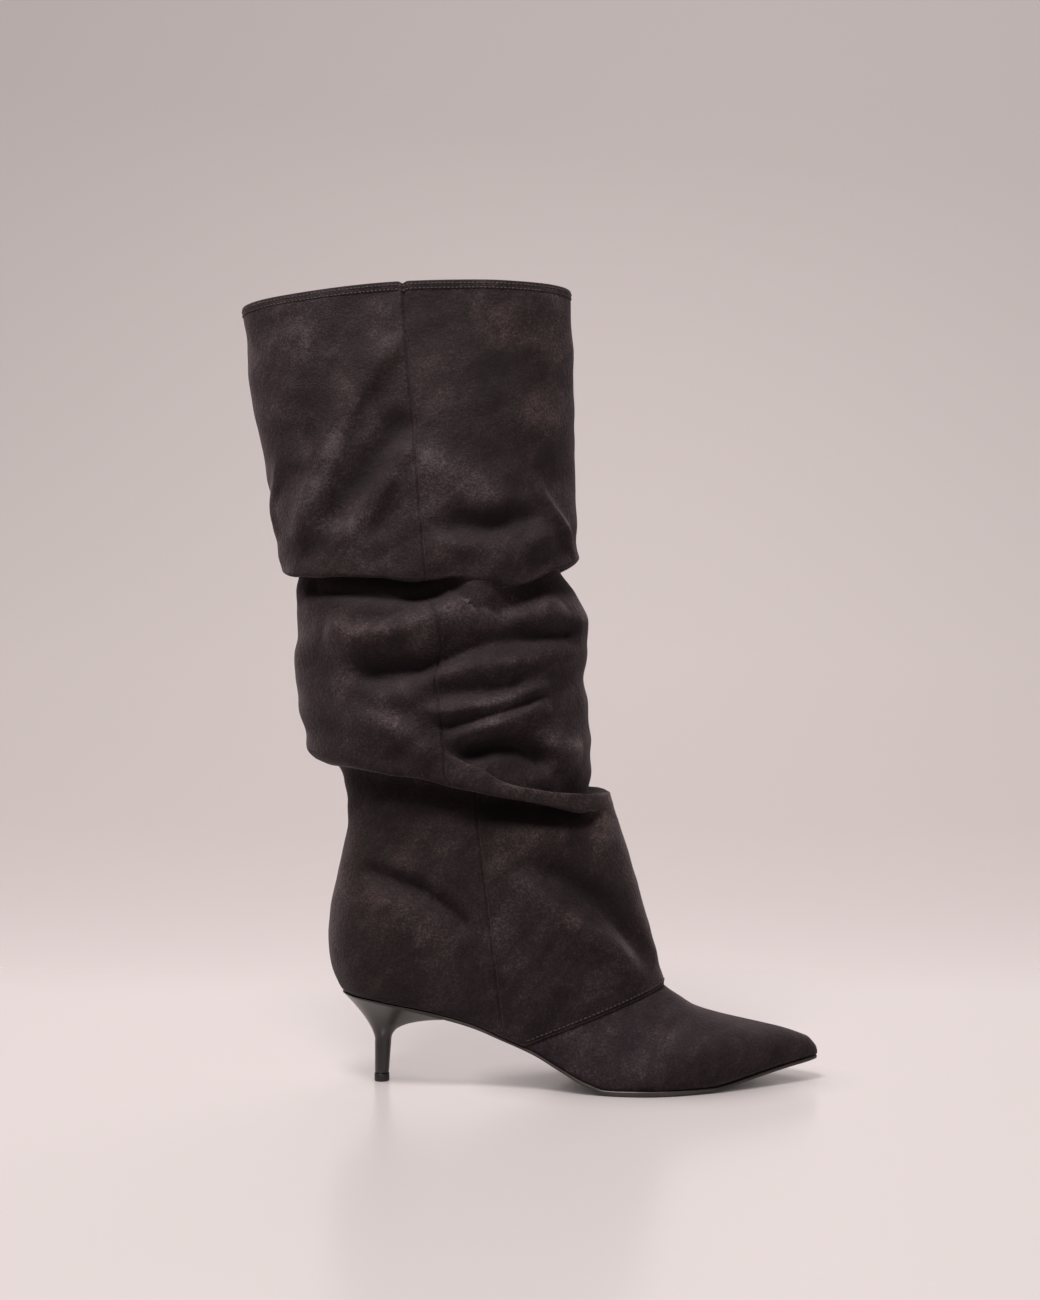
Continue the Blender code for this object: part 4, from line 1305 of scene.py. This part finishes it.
def make_heel(finish):
    """The heel: a seat of the sole's outline that flares down into the stem."""
    x = outline_walk("outer", BREAST_X, np.linspace(0, 1, SEAT_STEPS + 1))
    outer = np.stack([x, -half_width("outer", x), bed_height(x)], axis=-1)
    inner = np.stack([x, half_width("inner", x), bed_height(x)], axis=-1)[1:]
    breast = [mix(outer[-1], inner[-1], step / BREAST_STEPS) for step in range(1, BREAST_STEPS)]
    seat = np.concatenate([outer, breast, inner[::-1]])
    angle = 2 * math.pi * np.arange(len(seat)) / len(seat)
    rings = [seat.copy()]
    ahead = smooth_step((seat[:, 0] - HEEL_BACK_X) / HEEL_BREAST)
    seat[:, 2] -= mix(SEAT_EDGE, sole_thickness(seat[:, 0]) + SEAT_OVER_SOLE, ahead)
    bend = stem_ring(angle, FLARE_HEIGHT, FLARE_SPREAD, STEM_LEAN)
    end = stem_ring(angle, STEM_HEIGHT, STEM_SPREAD, STEM_LEAN)
    for share in np.linspace(0, 1, FLARE_STEPS):
        rings.append(seat * (1 - share) ** 2 + bend * 2 * share * (1 - share) + end * share**2)
    foot = TIP_HEIGHT + GAP + STEM_BEVEL
    for height in np.linspace(STEM_HEIGHT, foot, STEM_STEPS)[1:]:
        share = (height - foot) / (STEM_HEIGHT - foot)
        rings.append(stem_ring(angle, height, mix(1.0, STEM_SPREAD, share), STEM_LEAN * share))
    rings.append(stem_ring(angle, TIP_HEIGHT + GAP, STEM_FOOT))
    points = np.concatenate(rings)
    new_piece("heel_shell", points, capped_rings(rings), finish, ["heel"], crease_angle=50)


def make_heel_tip(finish):
    """The top piece, with a small bevel above and below."""
    angle = 2 * math.pi * np.arange(TIP_STEPS) / TIP_STEPS
    spread = 1 + TIP_MARGIN / STEM_DEPTH
    rings = [stem_ring(angle, height, spread * share) for height, share in TIP_RINGS]
    points = np.concatenate(rings)
    new_piece("top_piece", points, capped_rings(rings), finish, ["heel_tip"], crease_angle=60)


def set_inputs(node, values):
    for name, value in values.items():
        node.inputs[name].default_value = value


def new_material(name, roughness):
    made = bpy.data.materials.new(name)
    made.use_nodes = True
    shader = made.node_tree.nodes["Principled BSDF"]
    set_inputs(shader, {"Roughness": roughness})
    return made, made.node_tree, shader


def noise_node(tree, look, place=None):
    """Noise over the object's own places, scale in waves per metre, or over another node's places."""
    if place is None:
        place = tree.nodes.new("ShaderNodeTexCoord").outputs["Object"]
    made = tree.nodes.new("ShaderNodeTexNoise")
    set_inputs(made, {name.capitalize(): value for name, value in look._asdict().items()})
    tree.links.new(place, made.inputs["Vector"])
    return made.outputs["Fac"]


def ramp_node(tree, value, stops):
    """Colour ramp over a value; each stop is a place and a colour."""
    made = tree.nodes.new("ShaderNodeValToRGB")
    elements = made.color_ramp.elements
    while len(elements) < len(stops):
        elements.new(0.5)
    for element, (place, color) in zip(elements, stops):
        element.position = place
        element.color = (*color, 1)
    tree.links.new(value, made.inputs["Fac"])
    return made.outputs["Color"]


def math_node(tree, operation, first, second):
    made = tree.nodes.new("ShaderNodeMath")
    made.operation = operation
    for socket, value in zip(made.inputs, (first, second)):
        if isinstance(value, (int, float)):
            socket.default_value = value
        else:
            tree.links.new(value, socket)
    return made.outputs["Value"]


def bump_node(tree, height, distance, strength=1.0, before=None):
    made = tree.nodes.new("ShaderNodeBump")
    set_inputs(made, {"Distance": distance, "Strength": strength})
    tree.links.new(height, made.inputs["Height"])
    if before is not None:
        tree.links.new(before, made.inputs["Normal"])
    return made.outputs["Normal"]


def streak_node(tree):
    """Noise drawn out along a slant across the boot's side."""
    turn = tree.nodes.new("ShaderNodeMapping")
    set_inputs(turn, {"Rotation": (0, math.radians(STREAK_SLANT), 0)})
    stretch = tree.nodes.new("ShaderNodeMapping")
    set_inputs(stretch, {"Scale": STREAK_SCALES})
    tree.links.new(tree.nodes.new("ShaderNodeTexCoord").outputs["Object"], turn.inputs["Vector"])
    tree.links.new(turn.outputs["Vector"], stretch.inputs["Vector"])
    return ramp_node(tree, noise_node(tree, STREAKS, stretch.outputs["Vector"]), STREAK_STOPS)


def attribute_node(tree, name):
    made = tree.nodes.new("ShaderNodeAttribute")
    made.attribute_name = name
    return made.outputs["Fac"]


def suede_material():
    """Short mottled pile: patches that lie light or dark, with painted highlights and painted shade along the
    creases and folds, flecks, and a fine grain that catches light.
    """
    made, tree, shader = new_material("suede", SUEDE_ROUGHNESS)
    layers = [(noise_node(tree, look), share) for look, share in SUEDE_LAYERS]
    # The stored values hold the suede's own patches, with painted highlights and painted shade along the
    # creases and under the folds
    layers += [(streak_node(tree), STREAK_SHARE), (attribute_node(tree, "nap_and_painted_light"), NAP_AND_PAINTED_LIGHT_SHARE)]
    parts = [math_node(tree, "MULTIPLY", layer, share) for layer, share in layers]
    light = parts[0]
    for part in parts[1:]:
        light = math_node(tree, "ADD", light, part)
    color = tree.nodes.new("ShaderNodeVectorMath")
    color.operation = "MULTIPLY"
    tree.links.new(ramp_node(tree, light, SUEDE_TONES), color.inputs[0])
    tree.links.new(ramp_node(tree, noise_node(tree, TINT_NOISE), TINT_STOPS), color.inputs[1])
    tree.links.new(color.outputs["Vector"], shader.inputs["Base Color"])
    normal = None
    for look, distance, strength in SUEDE_BUMPS:
        normal = bump_node(tree, noise_node(tree, look), distance, strength, normal)
    tree.links.new(normal, shader.inputs["Normal"])
    set_inputs(shader, SUEDE_INPUTS)
    return made


def plain_material(look):
    """A moulded or cast finish with slight cloudiness and a fine uneven surface."""
    made, tree, shader = new_material(look.name, look.roughness)
    stops = tuple(zip(CLOUD_PLACES, (look.dark, look.light)))
    cloud = ramp_node(tree, noise_node(tree, Noise(look.scale, CLOUD_DETAIL)), stops)
    tree.links.new(cloud, shader.inputs["Base Color"])
    fine = noise_node(tree, Noise(look.scale * FINE_SCALE))
    tree.links.new(bump_node(tree, fine, look.bump, FINE_STRENGTH), shader.inputs["Normal"])
    set_inputs(shader, {"Coat Weight": look.coat, "Coat Roughness": COAT_ROUGHNESS})
    return made


def sweep_material():
    """Pale and smooth on the floor, rougher up the wall, with a painted glow that stands in for the lamps'
    light on it, darkened by a painted shadow where the boot stands close.
    """
    made, tree, shader = new_material("studio_sweep", FLOOR_ROUGHNESS)
    rise = attribute_node(tree, "rise")
    tree.links.new(ramp_node(tree, rise, SWEEP_BARE), shader.inputs["Base Color"])
    contact_shadow = tree.nodes.new("ShaderNodeAmbientOcclusion")
    set_inputs(contact_shadow, {"Distance": CONTACT_SHADOW_REACH})
    tree.links.new(ramp_node(tree, rise, SWEEP_GLOW), contact_shadow.inputs["Color"])
    tree.links.new(contact_shadow.outputs["Color"], shader.inputs["Emission Color"])
    rough = math_node(tree, "ADD", math_node(tree, "MULTIPLY", rise, SWEEP_ROUGHENS), FLOOR_ROUGHNESS)
    tree.links.new(rough, shader.inputs["Roughness"])
    set_inputs(shader, {"Emission Strength": 1.0, "Specular IOR Level": 0.5})
    return made


def add_object(name, data):
    made = bpy.data.objects.new(name, data)
    bpy.context.scene.collection.objects.link(made)
    return made


def make_sweep():
    """The studio's sweep, level under the boot and bending up behind it. rise: how far up the bend."""
    profile = [(-SWEEP_WIDTH, 0.0, 0.0)]
    for step in range(SWEEP_STEPS + 1):
        share = step / SWEEP_STEPS
        angle = 0.5 * math.pi * share
        across = SWEEP_START + SWEEP_RADIUS * math.sin(angle)
        profile.append((across, SWEEP_RADIUS * (1 - math.cos(angle)), share))
    profile.append((SWEEP_START + SWEEP_RADIUS, SWEEP_TOP, 1.0))
    data = bpy.data.meshes.new("sweep")
    points = [(x, y, z) for y, z, share in profile for x in (-SWEEP_WIDTH, SWEEP_WIDTH)]
    faces = [(2 * i, 2 * i + 1, 2 * i + 3, 2 * i + 2) for i in range(len(profile) - 1)]
    data.from_pydata(points, [], faces)
    data.shade_smooth()
    data.materials.append(sweep_material())
    sweep = add_object("sweep", data)
    store(sweep, "rise", [share for y, z, share in profile for x in (-1, 1)])


def make_light(row):
    data = bpy.data.lights.new(row.name, "AREA")
    data.shape = "RECTANGLE"
    data.size = row.size
    data.size_y = row.size_y
    data.energy = row.power
    data.color = row.color
    light = add_object(row.name, data)
    light.location = row.place
    light.rotation_euler = (Vector(row.target) - Vector(row.place)).to_track_quat("-Z", "Y").to_euler()


def make_studio():
    """The sweep, soft lights, the colour round the scene, and the camera."""
    make_sweep()
    for row in LIGHTS:
        make_light(row)
    world = bpy.data.worlds.new("studio")
    world.use_nodes = True
    set_inputs(world.node_tree.nodes["Background"], {"Color": WORLD_COLOR, "Strength": WORLD_STRENGTH})
    bpy.context.scene.world = world
    bpy.context.scene.view_settings.view_transform = "Standard"
    data = bpy.data.cameras.new("camera")
    data.lens = LENS
    data.sensor_width = SENSOR
    camera = add_object("camera", data)
    camera.location = EYE
    camera.rotation_euler = (math.radians(90), 0, 0)
    bpy.context.scene.camera = camera


def make_vamp_topstitch(finish):
    """Stitches on the shaft, just above its lower edge over the vamp."""
    first = CORNER_COLUMN + TOPSTITCH_END
    turn = np.linspace(first / COLUMNS, (COLUMNS - first) / COLUMNS, TOPSTITCH_PLACES)
    grid = shaft_grid(turn)[0]
    foot = grid[1:FOOT_RINGS]
    length = np.linalg.norm(foot - grid[: FOOT_RINGS - 1], axis=-1).cumsum(axis=0)
    out = unit(np.cross(np.gradient(grid, axis=1), np.gradient(grid, axis=0)))
    path = []
    for column in range(len(turn)):
        path.append([np.interp(TOPSTITCH_HEIGHT, length[:, column], foot[:, column, k]) for k in range(3)])
    make_stitching("vamp_topstitch", np.array(path), out[SEAM_RING], VAMP_STITCH, finish)


def main():
    suede = suede_material()
    looks = {row.name: plain_material(row) for row in FINISHES}
    make_shaft(suede, looks["thread"], looks["lining"])
    make_vamp(suede)
    make_vamp_topstitch(looks["thread"])
    make_outsole(looks["sole_paint"])
    make_insole(looks["lining"])
    make_heel(looks["heel_plastic"])
    make_heel_tip(looks["top_rubber"])
    make_studio()


main()
